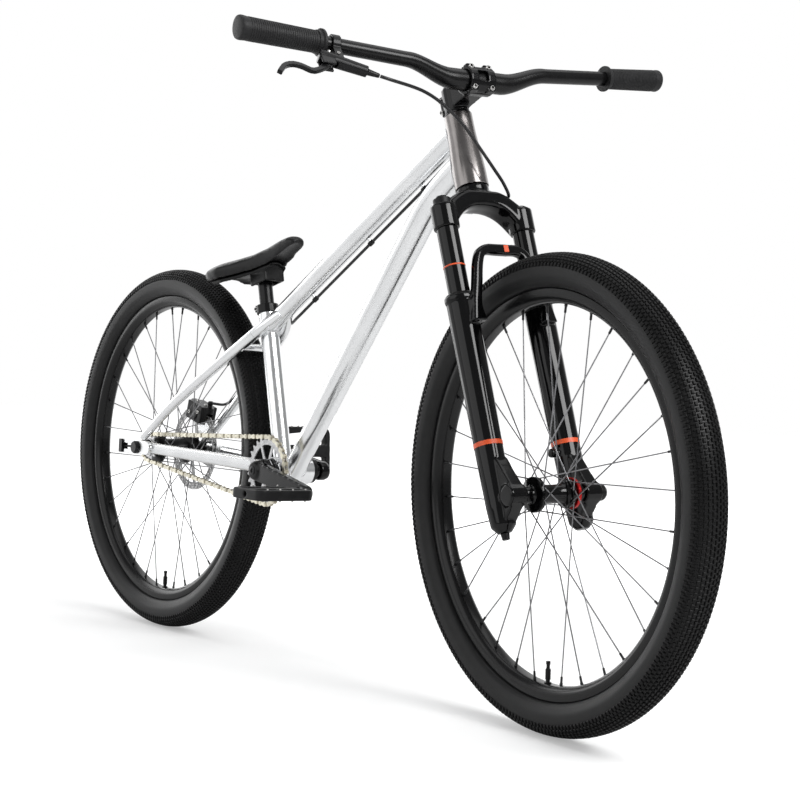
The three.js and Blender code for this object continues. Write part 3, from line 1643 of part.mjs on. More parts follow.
// The brace over the wheel that ties the two legs together
function lowerArch() {
  const foot = legSpread - lowerLegRadius * archFootShare;
  const top = archTopWide / 2;
  const under = archTop - archBand;
  const cornerTurn = archBand / 2;
  const outline = new THREE.Shape();
  outline.moveTo(-foot, archFoot);
  outline.lineTo(archFootInset - foot, archFoot);
  outline.lineTo(archUprightWide - top, under - cornerTurn);
  outline.lineTo(archUprightWide + cornerTurn - top, under);
  outline.lineTo(top - archUprightWide - cornerTurn, under);
  outline.lineTo(top - archUprightWide, under - cornerTurn);
  outline.lineTo(foot - archFootInset, archFoot);
  outline.lineTo(foot, archFoot);
  outline.lineTo(foot, archFoot + archFootBand);
  outline.lineTo(top, archTop - cornerTurn);
  outline.quadraticCurveTo(top - cornerTurn / 2, archTop, top - cornerTurn, archTop);
  outline.lineTo(cornerTurn - top, archTop);
  outline.quadraticCurveTo(cornerTurn / 2 - top, archTop, -top, archTop - cornerTurn);
  outline.lineTo(-foot, archFoot + archFootBand);
  return toFrontView(slab(outline, archDepth, 4)).translate(legOffset + archForward + archDepth / 4, 0, 0);
}

// A short arm inside the left leg, with an eye for a front brake hose
function guidePost() {
  const from = point(legOffset, legSpread, guidePostHeight);
  const to = point(
    legOffset + lowerLegRadius / 2 - guidePostReach,
    legSpread - guidePostInward,
    guidePostHeight,
  );
  const half = point(0, 0, guidePostHeadLength / 2);
  const head = rod(to.clone().sub(half), to.clone().add(half), guidePostHead, guidePostHead, smallSides);
  return join(rod(from, to, guidePostRadius, guidePostRadius, smallSides), head);
}

function forkLowers() {
  const solids = [-1, 1].flatMap((side) => [lowerLeg(side), ...legDropout(side)]);
  const bores = [-1, 1].map((side) =>
    rod(
      legPoint(side, lowerBoreEnd),
      legPoint(side, archTop),
      stanchionRadius + runningGap,
      stanchionRadius + runningGap,
      legSides,
    ),
  );
  const axleBore = rod(
    point(forkOffset, -dropoutBossOutside - overrun, 0),
    point(forkOffset, dropoutBossOutside + overrun, 0),
    frontAxleRadius + seatGap,
    frontAxleRadius + seatGap,
    boreSides,
  );
  return cut(join(...solids, lowerArch(), guidePost()), ...bores, axleBore);
}

function frontAxleShaft() {
  const right = -dropoutBossOutside + seatGap;
  const left = dropoutBossOutside + seatGap;
  const shaft = [
    [0, right],
    [frontAxleRadius, right],
    [frontAxleRadius, left],
    [axleHeadRadius, left],
    [axleHeadRadius, left + axleHeadLength * axleHeadEdgeShare],
    [axleHeadRadius * axleHeadTipShare, left + axleHeadLength],
    [0, left + axleHeadLength],
  ];
  return turned(shaft, boreSides).translate(forkOffset, 0, 0);
}

function reboundKnob() {
  const start = legFoot - seatGap;
  return rod(
    legPoint(-1, start - reboundHeight),
    legPoint(-1, start),
    reboundRadius * reboundTaperShare,
    reboundRadius,
    smallSides,
  );
}

// Stem and bar, in the steering frame
const barClamp = point(stemReach, 0, stemBarHeight);
const stemTop = stemStart + stemHeight;

function stemBlock() {
  const half = barClampWidth / 2;
  const outer = barClampRadius + barClampWall;
  const column = rod(point(0, 0, stemStart), point(0, 0, stemTop), stemClampRadius);
  const neck = block(
    stemReach,
    stemNeckWide,
    stemNeckTall,
    point(stemReach / 2, 0, (stemStart + stemTop) / 2 + seatGap),
  );
  const cradle = rod(point(stemReach, -half, stemBarHeight), point(stemReach, half, stemBarHeight), outer);
  const pinch = block(
    stemPinchReach + stemClampRadius,
    stemPinchWide,
    stemHeight * stemPinchShare,
    point(-(stemPinchReach + stemClampRadius) / 2, 0, (stemStart + stemTop) / 2),
  );
  const steererHole = rod(
    point(0, 0, stemStart - overrun),
    point(0, 0, stemTop + overrun),
    steererRadius + seatGap,
  );
  const barHole = rod(
    point(stemReach, -half - overrun, stemBarHeight),
    point(stemReach, half + overrun, stemBarHeight),
    barClampRadius + seatGap,
    barClampRadius + seatGap,
    barSides,
  );
  const slot = block(
    2 * (stemPinchReach + stemClampRadius),
    stemSlot,
    2 * stemHeight,
    point(-stemPinchReach - stemClampRadius, 0, stemBarHeight),
  );
  const front = block(
    stemReach,
    2 * barClampWidth,
    2 * stemHeight,
    point(stemReach * 1.5 + faceplateSplit, 0, stemBarHeight),
  );
  return cut(join(column, neck, cradle, pinch), steererHole, barHole, slot, front);
}

function faceplate() {
  const half = barClampWidth / 2;
  const outer = barClampRadius + barClampWall;
  const ends = (gap) => [-1, 1].map((side) => point(stemReach, side * (half + gap), stemBarHeight));
  const shell = rod(...ends(0), outer);
  const lugAhead = stemReach + faceplateSplit + barClampWall + seatGap;
  const lugs = [-1, 1].map((side) => {
    const lugCentre = point(lugAhead, (side * (half + faceplateWindow / 2)) / 2, stemBarHeight);
    return block(barClampWall * 2, half - faceplateWindow / 2, 2 * outer, lugCentre);
  });
  const barHole = rod(...ends(overrun), barClampRadius + seatGap, barClampRadius + seatGap, barSides);
  const behind = block(
    stemReach,
    2 * barClampWidth,
    2 * stemHeight,
    point(stemReach / 2 + faceplateSplit + seatGap, 0, stemBarHeight),
  );
  const view = block(outer, faceplateWindow, barClampRadius, point(stemReach + outer, 0, stemBarHeight));
  return cut(join(shell, ...lugs), barHole, behind, view);
}

// The bar's centre line: rise between the bends, then upsweep and backsweep
function barShift(place) {
  const out = Math.abs(place);
  const bend = THREE.MathUtils.smoothstep(out, barBendStart, barBendEnd);
  const past = Math.max(out - barBendEnd, 0);
  const up = bend * barRise + past * Math.tan(radians(barUpsweep));
  const back = past * Math.tan(radians(barBacksweep));
  const x = up * Math.cos(radians(headAngle)) - back * Math.sin(radians(headAngle));
  const z = up * Math.sin(radians(headAngle)) + back * Math.cos(radians(headAngle));
  return point(x, 0, z);
}

function bentAlongBar(geometry) {
  const places = geometry.attributes.position;
  for (let i = 0; i < places.count; i += 1) {
    const shift = barShift(places.getY(i)).add(barClamp);
    places.setX(i, places.getX(i) + shift.x);
    places.setZ(i, places.getZ(i) + shift.z);
  }
  return geometry;
}

function handlebar() {
  const half = barWidth / 2 - gripEndWall - seatGap;
  const bendShares = [0, 0.3, 0.5, 0.7, 1];
  const bend = bendShares.map((share) => {
    const place = barBendStart + share * (barBendEnd - barBendStart);
    return [barClampRadius + (barRadius - barClampRadius) * share, place];
  });
  const left = [...bend, [barRadius, half]];
  const right = [...left].reverse().map(([radius, place]) => [radius, -place]);
  return bentAlongBar(turned([[0, -half], ...right, ...left, [0, half]], barSides));
}

function grip(side) {
  const end = barWidth / 2;
  const start = end - gripLength;
  const inner = barRadius + seatGap;
  const profile = [
    [inner, start],
    [gripFlangeRadius, start],
    [gripFlangeRadius, start + gripFlangeWidth],
    [gripRadius, start + 2 * gripFlangeWidth],
    [gripRadius + (gripEndRadius - gripRadius) / 2, end - 3 * gripEndWall],
    [gripEndRadius, end - gripEndWall],
    [gripEndRadius * gripEndShare, end],
    [0, end],
    [0, end - gripEndWall],
    [inner, end - gripEndWall],
    [inner, start],
  ];
  return bentAlongBar(turned(profile.map(([radius, place]) => [radius, side * place]), barSides));
}

// The lever's own frame: Y along the bar towards the left, X forward and down from it
const leverFrame = new THREE.Group();
steering.add(leverFrame);
const leverAlong = barShift(leverClampPlace - overrun).sub(barShift(leverClampPlace));
leverAlong.y = overrun;
leverAlong.normalize();
const leverAhead = point(Math.cos(radians(leverDrop)), 0, -Math.sin(radians(leverDrop)));
leverAhead.addScaledVector(leverAlong, -leverAhead.dot(leverAlong)).normalize();
const leverTurn = new THREE.Matrix4().makeBasis(leverAhead, leverAlong, leverAhead.clone().cross(leverAlong));
leverFrame.position.copy(barShift(leverClampPlace).add(barClamp));
leverFrame.position.y = -leverClampPlace;
leverFrame.quaternion.setFromRotationMatrix(leverTurn);
leverFrame.updateMatrix();

const leverPivot = point(leverPivotReach, -leverPivotOutboard, 0);

const masterPoint = (place) => point(masterReach + (masterSplay * place) / masterInboard, place, 0);

function leverBody() {
  const half = leverClampWidth / 2;
  const outer = barRadius + leverClampWall;
  const band = rod(point(0, -half, 0), point(0, half, 0), outer);
  const neck = block(masterReach, leverClampWidth, leverNeckTall, point(masterReach / 2, 0, 0));
  const outboard = masterPoint(masterInboard - masterLength);
  const inboard = masterPoint(masterInboard);
  const master = rod(outboard, inboard, masterRadius, masterRadius * masterTaperShare, smallSides + 4);
  const tip = masterPoint(masterInboard + masterNoseLength);
  const nose = rod(
    masterPoint(masterInboard - overrun),
    tip,
    masterNoseRadius,
    hoseRadius + seatGap * 3,
    smallSides,
  );
  const earLong = leverPivotReach - masterReach + masterRadius;
  const earTall = leverBladeThickness + 2 * leverEarThickness;
  const earCentre = point((leverPivotReach + masterReach) / 2, -leverPivotOutboard, 0);
  const ear = block(earLong, 2 * masterRadius, earTall, earCentre);
  const slotTall = leverBladeThickness + 2 * runningGap;
  const slotCentre = leverPivot.clone().add(point(masterRadius / 4, 0, 0));
  const slot = block(2 * masterRadius, 3 * masterRadius, slotTall, slotCentre);
  const pinHalf = point(0, 0, leverBladeThickness);
  const pinStart = leverPivot.clone().sub(pinHalf);
  const pin = rod(pinStart, leverPivot.clone().add(pinHalf), leverPinRadius, leverPinRadius, smallSides);
  const barHole = rod(point(0, -masterLength, 0), point(0, masterLength, 0), barRadius + 2 * seatGap);
  const body = cut(join(band, neck, master, nose, ear), slot, barHole);
  return join(body, pin);
}

// The blade curves out, back and into a short hook, round its pivot
function leverBlade() {
  const wide = leverBladeWide / 2;
  const reachShares = [
    [0.0, 0.0],
    [0.16, 0.17],
    [0.3, 0.24],
    [0.46, 0.17],
    [0.6, 0.16],
    [0.74, 0.24],
    [0.86, 0.44],
  ];
  const spine = reachShares.map(([out, forward]) =>
    point(forward * leverBladeReach, -out * leverBladeReach, 0).add(leverPivot),
  );
  const line = new THREE.CatmullRomCurve3(spine).getPoints(14);
  const edge = (side) =>
    line.map((spot, i) => {
      const before = line[Math.max(i - 1, 0)];
      const after = line[Math.min(i + 1, line.length - 1)];
      const run = after.clone().sub(before).normalize();
      const taper = i < 2 ? 1 : bladeTaperShare;
      return [spot.x - side * run.y * wide * taper, spot.y + side * run.x * wide * taper];
    });
  const blade = slab([...edge(1), ...edge(-1).reverse()], leverBladeThickness * bladeThicknessShare);
  const eye = rod(
    leverPivot.clone().add(point(0, 0, -leverBladeThickness / 2)),
    leverPivot.clone().add(point(0, 0, leverBladeThickness / 2)),
    leverBladeWide * bladeEyeShare,
    leverBladeWide * bladeEyeShare,
    smallSides + 4,
  );
  const hole = rod(
    leverPivot.clone().add(point(0, 0, -leverBladeThickness)),
    leverPivot.clone().add(point(0, 0, leverBladeThickness)),
    leverPinRadius + runningGap,
    leverPinRadius + runningGap,
    smallSides,
  );
  return cut(join(blade, eye), hole);
}

function hoseLeverEnd() {
  const end = masterPoint(masterInboard + masterNoseLength + 2 * runningGap);
  const straight = masterPoint(masterInboard + masterNoseLength + 6 * hoseRadius);
  return [straight, end].map((spot) => spot.applyMatrix4(leverFrame.matrix));
}

// Rear brake, in a frame at the rotor: X along the rotor's edge, Z outwards
const caliperFrame = new THREE.Group();
bike.add(caliperFrame);
const caliperTurn = radians(caliperAngle);
caliperFrame.position.set(
  caliperCentre * Math.cos(caliperTurn),
  rotorOffset,
  wheelRadius + caliperCentre * Math.sin(caliperTurn),
);
caliperFrame.rotation.y = Math.PI / 2 - caliperTurn;
caliperFrame.updateMatrixWorld();

// The hose leaves a port above the caliper's front post
const caliperLift = rotorRadius - caliperCentre - caliperTall / 4;
const hosePortRun = point(Math.cos(radians(hosePortTurn)), Math.sin(radians(hosePortTurn)), 0);
const hosePort = () => point(
  caliperLong / 2 + hosePortReach,
  0,
  caliperLift + caliperTall / 2 + hosePortRise,
);

function hosePortHead() {
  const run = hosePortRun.clone().applyQuaternion(caliperFrame.quaternion.clone().invert());
  const face = hosePort().addScaledVector(run, -2 * seatGap);
  const back = hosePort().addScaledVector(run, -2 * hosePortRadius);
  const foot = point(caliperLong / 2, 0, caliperLift);
  const top = point(caliperLong / 2, 0, hosePort().z);
  const stub = rod(foot, top, hosePortRadius, hosePortRadius, smallSides);
  return join(stub, rod(back, face, hosePortRadius, hosePortRadius, smallSides));
}

function caliper() {
  const lift = caliperLift;
  const body = block(caliperLong, caliperWide, caliperTall, point(0, 0, lift));
  const shoulders = rod(
    point(0, -(caliperWide + overrun) / 2, lift),
    point(0, caliperWide / 2 - overrun, lift),
    caliperTall * caliperShoulderShare,
    caliperTall * caliperShoulderShare,
    smallSides + 4,
  );
  const slot = block(2 * caliperLong, caliperSlot, caliperTall, point(0, 0, lift - caliperTall / 3));
  const posts = [-1, 1].map((end) =>
    rod(
      point((end * caliperLong) / 2, 0, lift - caliperTall / 2),
      point((end * caliperLong) / 2, 0, lift + caliperTall / 2),
      caliperPost,
      caliperPost,
      smallSides,
    ),
  );
  const clear = rod(
    point(0, -rotorThickness / 2 - padClearance, -caliperCentre),
    point(0, rotorThickness / 2 + padClearance, -caliperCentre),
    rotorRadius + overrun,
    rotorRadius + overrun,
    wheelSides,
  );
  return cut(join(body, shoulders, ...posts, hosePortHead()), slot, clear);
}

function brakePad(side) {
  const inner = side * (rotorThickness / 2 + padClearance);
  return block(padLong, padThickness, padTall, point(0, inner + (side * padThickness) / 2, -padSink));
}

// Frame
addPart(headFrame, "head_tube", headTube(), gunmetal);
const upperSeat = headTubeUpperRadius - bearingSeatWall - seatGap;
const lowerSeat = headTubeLowerRadius - bearingSeatWall - seatGap;
const upperBearing = headsetBearing(
  headTubeEnd - bearingSeatDepth + seatGap,
  headTubeEnd,
  upperSeat,
  steererRadius + runningGap,
);
const lowerBearing = headsetBearing(
  headTubeStart + seatGap,
  headTubeStart + bearingSeatDepth - seatGap,
  lowerSeat,
  steererTaperRadius + runningGap,
);
addPart(headFrame, "headset_bearing_upper", upperBearing, steel);
addPart(headFrame, "headset_bearing_lower", lowerBearing, steel);
addPart(bike, "top_tube", topTube(), polished);
addPart(bike, "down_tube", downTube(), polished);
addPart(bike, "seat_tube", seatTube(), polished);
addPart(bike, "bottom_bracket_shell", crankShell(), polished);
addPart(bike, "chainstay_right", trimmedStay(chainstay(-1), -1), polished);
addPart(bike, "chainstay_left", trimmedStay(chainstay(1), 1), polished);
addPart(bike, "seatstay_right", trimmedStay(seatstayRight(), -1), polished);
addPart(bike, "seatstay_left", trimmedStay(seatstayLeft(), 1), polished);
addPart(bike, "dropout_right", dropout(-1), polished);
addPart(bike, "dropout_left", dropout(1), polished);
addPart(bike, "chain_tensioner_right", chainTensioner(-1), steel);
addPart(bike, "chain_tensioner_left", chainTensioner(1), steel);
addPart(bike, "bottom_bracket_cup_right", crankCup(-1), satinBlack);
addPart(bike, "bottom_bracket_cup_left", crankCup(1), satinBlack);
addPart(bike, "seat_clamp", seatClamp(), satinBlack);
addPart(bike, "seatpost", seatpost(), satinBlack);
addPart(bike, "saddle_base", saddleBase(), satinBlack);
addPart(bike, "saddle_cover", saddleCover(), rubber);

// Rear wheel, brake and drivetrain
addPart(rearWheel, "rear_axle", rearAxle(), darkSteel);
addPart(rearWheel, "axle_bolt_right", axleBolt(-1), satinBlack);
addPart(rearWheel, "axle_bolt_left", axleBolt(1), satinBlack);
addPart(rearWheel, "rear_hub_and_spokes", rearHub(), satinBlack);
addPart(rearWheel, "rear_rim", rim(), satinBlack);
addPart(rearWheel, "rear_tyre", tyre(), rubber);
addPart(rearWheel, "rear_valve", valve(), satinBlack);
addPart(rearWheel, "brake_rotor", brakeRotor(), steel);
addPart(rearWheel, "rear_cog", rearCog(), darkSteel);
addPart(bike, "chain", chain(), chainSteel);
addPart(cranks, "chainring", chainring(), steel);
addPart(cranks, "crank_arm_right", crankArmRight(), glossBlack);
addPart(cranks, "crank_arm_left", crankArmLeft(), glossBlack);
const pedalPlace = crankInside + crankArmThickness + crankArmFlare + pedalGap + runningGap + pedalWide / 2;
const pedalRight = addPart(cranks, "pedal_right", pedal(), satinBlack);
pedalRight.position.set(crankLength, -pedalPlace, 0);
pedalRight.rotation.y = radians(pedalTurnRight - crankDip);
const pedalLeft = addPart(cranks, "pedal_left", pedal(), satinBlack);
pedalLeft.position.set(-crankLength, pedalPlace, 0);
pedalLeft.rotation.y = radians(pedalTurnLeft - crankDip);
addPart(caliperFrame, "brake_caliper", caliper(), glossBlack);
addPart(caliperFrame, "brake_pad_outer", brakePad(1), darkSteel);
addPart(caliperFrame, "brake_pad_inner", brakePad(-1), darkSteel);
addPart(bike, "brake_hose", brakeHose(), rubber);

// Steering, fork and front wheel
addPart(steering, "fork_crown", crown(), glossBlack);
addPart(steering, "stanchion_right", stanchion(-1), glossBlack);
addPart(steering, "stanchion_left", stanchion(1), glossBlack);
addPart(steering, "compression_knob", compressionKnob(), satinBlack);
addPart(steering, "fork_lowers", forkLowers(), glossBlack);
addPart(steering, "front_axle", frontAxleShaft(), satinBlack);
addPart(steering, "rebound_knob", reboundKnob(), satinBlack);
const coverStart = headTubeEnd + seatGap;
const cover = rod(
  point(0, 0, coverStart),
  point(0, 0, coverStart + topCoverHeight),
  headTubeUpperRadius,
  topCoverRadius,
);
const coverBore = rod(point(0, 0, headTubeEnd - overrun), point(0, 0, stemTop), steererRadius + seatGap);
addPart(steering, "headset_top_cover", cut(cover, coverBore), satinBlack);
addPart(steering, "stem", stemBlock(), satinBlack);
addPart(steering, "stem_faceplate", faceplate(), satinBlack);
const topCap = rod(
  point(0, 0, stemTop + seatGap),
  point(0, 0, stemTop + seatGap + topCapHeight),
  topCapRadius,
  topCapRadius * topCapEdgeShare,
);
addPart(steering, "stem_top_cap", topCap, satinBlack);
addPart(steering, "handlebar", handlebar(), glossBlack);
addPart(steering, "grip_right", grip(-1), rubber);
addPart(steering, "grip_left", grip(1), rubber);
addPart(leverFrame, "lever_body", leverBody(), glossBlack);
addPart(leverFrame, "lever_blade", leverBlade(), glossBlack);
addPart(frontWheel, "front_hub_and_spokes", frontHub(), satinBlack);
addPart(frontWheel, "front_rim", rim(), satinBlack);
addPart(frontWheel, "front_tyre", tyre(), rubber);
addPart(frontWheel, "front_valve", valve(), satinBlack);

export default bike;
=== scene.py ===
"""Looks of the dirt jump bike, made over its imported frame.

Forms are drawn in millimetres, in the frame of the bike, the steering or a wheel, and come out in metres.
"""
import json
import math

import bmesh
import bpy
from mathutils import Matrix, Vector


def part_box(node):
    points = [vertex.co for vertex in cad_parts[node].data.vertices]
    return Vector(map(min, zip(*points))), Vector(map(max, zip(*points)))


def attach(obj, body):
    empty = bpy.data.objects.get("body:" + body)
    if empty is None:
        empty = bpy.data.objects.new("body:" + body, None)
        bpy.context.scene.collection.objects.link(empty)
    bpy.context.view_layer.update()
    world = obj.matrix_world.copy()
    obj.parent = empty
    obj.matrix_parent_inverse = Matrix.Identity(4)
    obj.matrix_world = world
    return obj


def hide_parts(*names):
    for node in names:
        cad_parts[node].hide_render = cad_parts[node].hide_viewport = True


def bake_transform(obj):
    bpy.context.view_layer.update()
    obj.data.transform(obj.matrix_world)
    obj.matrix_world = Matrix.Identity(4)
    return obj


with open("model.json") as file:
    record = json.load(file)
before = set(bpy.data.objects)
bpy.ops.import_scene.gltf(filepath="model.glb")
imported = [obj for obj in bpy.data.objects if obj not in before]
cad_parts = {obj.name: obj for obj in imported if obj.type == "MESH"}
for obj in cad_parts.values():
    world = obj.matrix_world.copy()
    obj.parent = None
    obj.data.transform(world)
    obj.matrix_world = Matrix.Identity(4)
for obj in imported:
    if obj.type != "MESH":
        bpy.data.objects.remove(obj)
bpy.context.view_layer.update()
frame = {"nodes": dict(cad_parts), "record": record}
nodes = frame["nodes"]
record = frame["record"]
BODY_OF = {node: body for body, members in record["behaviour"]["bodies"].items() for node in members}

MM = 0.001
IN_MM = Matrix.Scale(MM, 4)
X, Y, Z = Vector((1, 0, 0)), Vector((0, 1, 0)), Vector((0, 0, 1))
SIDES = ((-1, "right"), (1, "left"))

# Where the turning parts stand, in metres, as in the part's source
HEAD_ANGLE = 69.5
HEAD_TILT = math.radians(HEAD_ANGLE - 90)
BAR_TURN = math.radians(-5.4)
STEERING_FOOT = Vector((1.0261751, 0, 0.3214006))
FORK_OFFSET = 0.0454
REAR_AXLE = Vector((0, 0, 0.336))
CRANK_AXLE = Vector((0.40485, 0, 0.3215))

FRAME = Matrix.Identity(4)
HEAD = Matrix.Translation(STEERING_FOOT) @ Matrix.Rotation(HEAD_TILT, 4, "Y")
STEERING = HEAD @ Matrix.Rotation(BAR_TURN, 4, "Z")
FRONT_WHEEL = STEERING @ Matrix.Translation((FORK_OFFSET, 0, 0)) @ Matrix.Rotation(-HEAD_TILT, 4, "Y")
REAR_WHEEL = Matrix.Translation(REAR_AXLE)


def add_object(name, data):
    thing = bpy.data.objects.new(name, data)
    bpy.context.scene.collection.objects.link(thing)
    return thing


# Node trees: one class for what a node gives, one for the tree
class Amount:
    """One output of a node, which Python's +, * and / can work on."""

    def __init__(self, tree, node, output=0):
        self.tree = tree
        self.node = node
        self.output = output

    def maths(self, operation, first, second):
        return self.tree.make("ShaderNodeMath", {"operation": operation}, {0: first, 1: second})

    def __add__(self, other):
        return self.maths("ADD", self, other)

    def __radd__(self, other):
        return self.maths("ADD", other, self)

    def __mul__(self, other):
        return self.maths("MULTIPLY", self, other)

    def __rmul__(self, other):
        return self.maths("MULTIPLY", other, self)

    def __truediv__(self, other):
        return self.maths("DIVIDE", self, other)

    def __rtruediv__(self, other):
        return self.maths("DIVIDE", other, self)


class NodeTree:
    """An empty tree of nodes, to be filled by one method."""

    def __init__(self, tree):
        self.tree = tree
        self.tree.nodes.clear()

    def make(self, kind, settings=None, sockets=None, output=0):
        """Adds a node, with its settings first and then its sockets' values or links."""
        node = self.tree.nodes.new(kind)
        for key, value in (settings or {}).items():
            if key != "stops":
                setattr(node, key, value)
                continue
            for stop, (place, shade) in zip(node.color_ramp.elements, value):
                stop.position = place
                stop.color = (shade, shade, shade, 1)
        for key, value in (sockets or {}).items():
            self.feed(node.inputs[key], value)
        return Amount(self, node, output)

    def feed(self, socket, value):
        if isinstance(value, Amount):
            self.tree.links.new(value.node.outputs[value.output], socket)
        elif socket.type == "RGBA":
            socket.default_value = (*value, 1)
        else:
            socket.default_value = value


# Camera, backdrop and lights, in metres
CAMERA_PLACE = (2.8212, -1.6166, 0.4910)
CAMERA_HEADING, CAMERA_PITCH, CAMERA_ROLL = (math.radians(turn) for turn in (142.63, -0.8, 2.7))
CAMERA_LENS = 76.8
CAMERA_SENSOR = 36
WORLD_LIGHT = 0.3
FLOOR_HALF = 14
FLOOR_PLACE = (0.5, 0, -0.0005)
FLOOR_TONE = (0.75, 0.75, 0.75)
# Between these distances the floor's glow grows from the one share of white to the other
FLOOR_GLOW = {"From Min": 1.0, "From Max": 2.6, "To Min": 0.33, "To Max": 1.0}
# Each softbox: its place, the spot that it faces, its width and height, and its glow
SOFTBOXES = {
    "left_softbox": ((0.3, -3.3, 1.5), (0.6, 0, 0.5), (3.4, 2.4), 1.25),
    "front_softbox": ((3.5, 0.35, 2.35), (1.0, 0, 0.5), (1.9, 1.4), 11.0),
    "top_softbox": ((0.4, 0.2, 3.0), (0.6, 0, 0.3), (3.2, 2.2), 1.2),
    "rear_softbox": ((-2.8, -0.2, 1.34), (0.8, 0, 1.2), (2.4, 2.6), 2.4),
    "side_softbox": ((-2.3, -2.3, 1.1), (0.5, 0, 0.5), (2.4, 2.2), 0.6),
    "backdrop_glow": ((-2.2, 3.4, 1.7), (0.4, 0, 0.6), (6.5, 4.2), 0.9),
}


def add_camera():
    data = bpy.data.cameras.new("camera")
    data.lens = CAMERA_LENS
    data.sensor_width = CAMERA_SENSOR
    data.clip_end = 60
    level_reach = math.cos(CAMERA_PITCH)
    ahead = Vector((level_reach * math.cos(CAMERA_HEADING), level_reach * math.sin(CAMERA_HEADING),
                    math.sin(CAMERA_PITCH)))
    level = ahead.cross(Z).normalized()
    upright = level.cross(ahead)
    right = level * math.cos(CAMERA_ROLL) + upright * math.sin(CAMERA_ROLL)
    up = upright * math.cos(CAMERA_ROLL) - level * math.sin(CAMERA_ROLL)
    camera = add_object("camera", data)
    camera.matrix_world = Matrix.Translation(CAMERA_PLACE) @ Matrix((right, up, -ahead)).transposed().to_4x4()
    bpy.context.scene.camera = camera


def add_softbox(name, place, aim, size, glow):
    """A lamp with an even glow over its face."""
    data = bpy.data.lights.new(name, "AREA")
    data.shape = "RECTANGLE"
    data.size, data.size_y = size
    data.energy = glow * math.pi * size[0] * size[1]
    lamp = add_object(name, data)
    lamp.visible_camera = False
    lamp.location = place
    lamp.rotation_euler = (Vector(aim) - Vector(place)).to_track_quat("-Z", "Y").to_euler()


def add_world():
    """White to the camera, and a dim even light to everything else."""
    world = bpy.data.worlds.new("studio")
    bpy.context.scene.world = world
    world.use_nodes = True
    tree = NodeTree(world.node_tree)
    seen = tree.make("ShaderNodeBackground", {}, {"Color": (1, 1, 1), "Strength": 1.0})
    light = tree.make("ShaderNodeBackground", {}, {"Color": (0.98, 0.99, 1), "Strength": WORLD_LIGHT})
    camera_ray = tree.make("ShaderNodeLightPath", output="Is Camera Ray")
    mixed_light = tree.make("ShaderNodeMixShader", {}, {0: camera_ray, 1: light, 2: seen})
    tree.make("ShaderNodeOutputWorld", {}, {"Surface": mixed_light})


def add_floor():
    """A matt floor that takes the shadow, with a glow to the camera that grows with distance."""
    mesh = bpy.data.meshes.new("floor")
    corners = [(-FLOOR_HALF, -FLOOR_HALF, 0), (FLOOR_HALF, -FLOOR_HALF, 0)]
    corners += [(FLOOR_HALF, FLOOR_HALF, 0), (-FLOOR_HALF, FLOOR_HALF, 0)]
    mesh.from_pydata(corners, [], [(0, 1, 2, 3)])
    floor = add_object("floor", mesh)
    floor.location = FLOOR_PLACE
    finish = bpy.data.materials.new("studio_floor")
    finish.use_nodes = True
    tree = NodeTree(finish.node_tree)
    spot = tree.make("ShaderNodeTexCoord", output="Object")
    far_off = tree.make("ShaderNodeVectorMath", {"operation": "LENGTH"}, {0: spot}, "Value")
    fade = tree.make("ShaderNodeMapRange", {}, {"Value": far_off, **FLOOR_GLOW})
    camera_ray = tree.make("ShaderNodeLightPath", output="Is Camera Ray")
    glow = tree.make("ShaderNodeEmission", {}, {"Strength": camera_ray * fade})
    matt = tree.make("ShaderNodeBsdfDiffuse", {}, {"Color": FLOOR_TONE})
    both = tree.make("ShaderNodeAddShader", {}, {0: matt, 1: glow})
    tree.make("ShaderNodeOutputMaterial", {}, {"Surface": both})
    mesh.materials.append(finish)


bpy.context.scene.view_settings.view_transform = "Standard"
add_camera()
add_world()
add_floor()
for name, (place, aim, size, glow) in SOFTBOXES.items():
    add_softbox(name, place, aim, size, glow)


# Finishes
# A colour mix node's own sockets for the share, the two colours and the result
MIX_SHARE, MIX_LOW, MIX_HIGH, MIX_RESULT = 0, 6, 7, 2


class Finish(NodeTree):
    """A material made of a Principled shader and the nodes that feed it."""

    def __init__(self, name, colour, roughness, metallic=0.0, shine=0.5):
        self.material = bpy.data.materials.new(name)
        self.material.use_nodes = True
        self.material.diffuse_color = (*colour, 1)
        super().__init__(self.material.node_tree)
        sockets = {"Base Color": colour, "Roughness": roughness, "Metallic": metallic}
        sockets["Specular IOR Level"] = shine
        self.shader = self.make("ShaderNodeBsdfPrincipled", {}, sockets)
        self.make("ShaderNodeOutputMaterial", {}, {"Surface": self.shader})

    def pattern(self, kind, stretch, sockets):
        """A texture that lies in the piece's own frame."""
        where = self.make("ShaderNodeTexCoord", output="Object")
        placed = self.make("ShaderNodeMapping", {}, {"Vector": where, "Scale": stretch})
        return self.make(kind, {}, {"Vector": placed, **sockets})

    def noise(self, scale, detail, stretch=(1, 1, 1), roughness=0.55):
        sockets = {"Scale": scale, "Detail": detail, "Roughness": roughness}
        return self.pattern("ShaderNodeTexNoise", stretch, sockets)

    def cells(self, scale):
        return self.pattern("ShaderNodeTexVoronoi", (1, 1, 1), {"Scale": scale})

    def above(self, value, low, high):
        """0 up to low, 1 from high on, and an even rise between them."""
        return self.make("ShaderNodeValToRGB", {"stops": ((low, 0), (high, 1))}, {"Fac": value})

    def between(self, share, low, high):
        """A colour between two, by a share that changes over the piece."""
        sockets = {MIX_SHARE: share, MIX_LOW: low, MIX_HIGH: high}
        return self.make("ShaderNodeMix", {"data_type": "RGBA"}, sockets, MIX_RESULT)

    def worn(self, colour, rough, height=None, depth=0.0):
        """Lets colour, roughness and small bumps change over the piece, and gives the material."""
        inputs = self.shader.node.inputs
        if colour is not None:
            self.feed(inputs["Base Color"], colour)
        self.feed(inputs["Roughness"], rough)
        if height is not None:
            sockets = {"Height": height, "Strength": 1.0, "Distance": depth}
            self.feed(inputs["Normal"], self.make("ShaderNodeBump", {}, sockets))
        return self.material


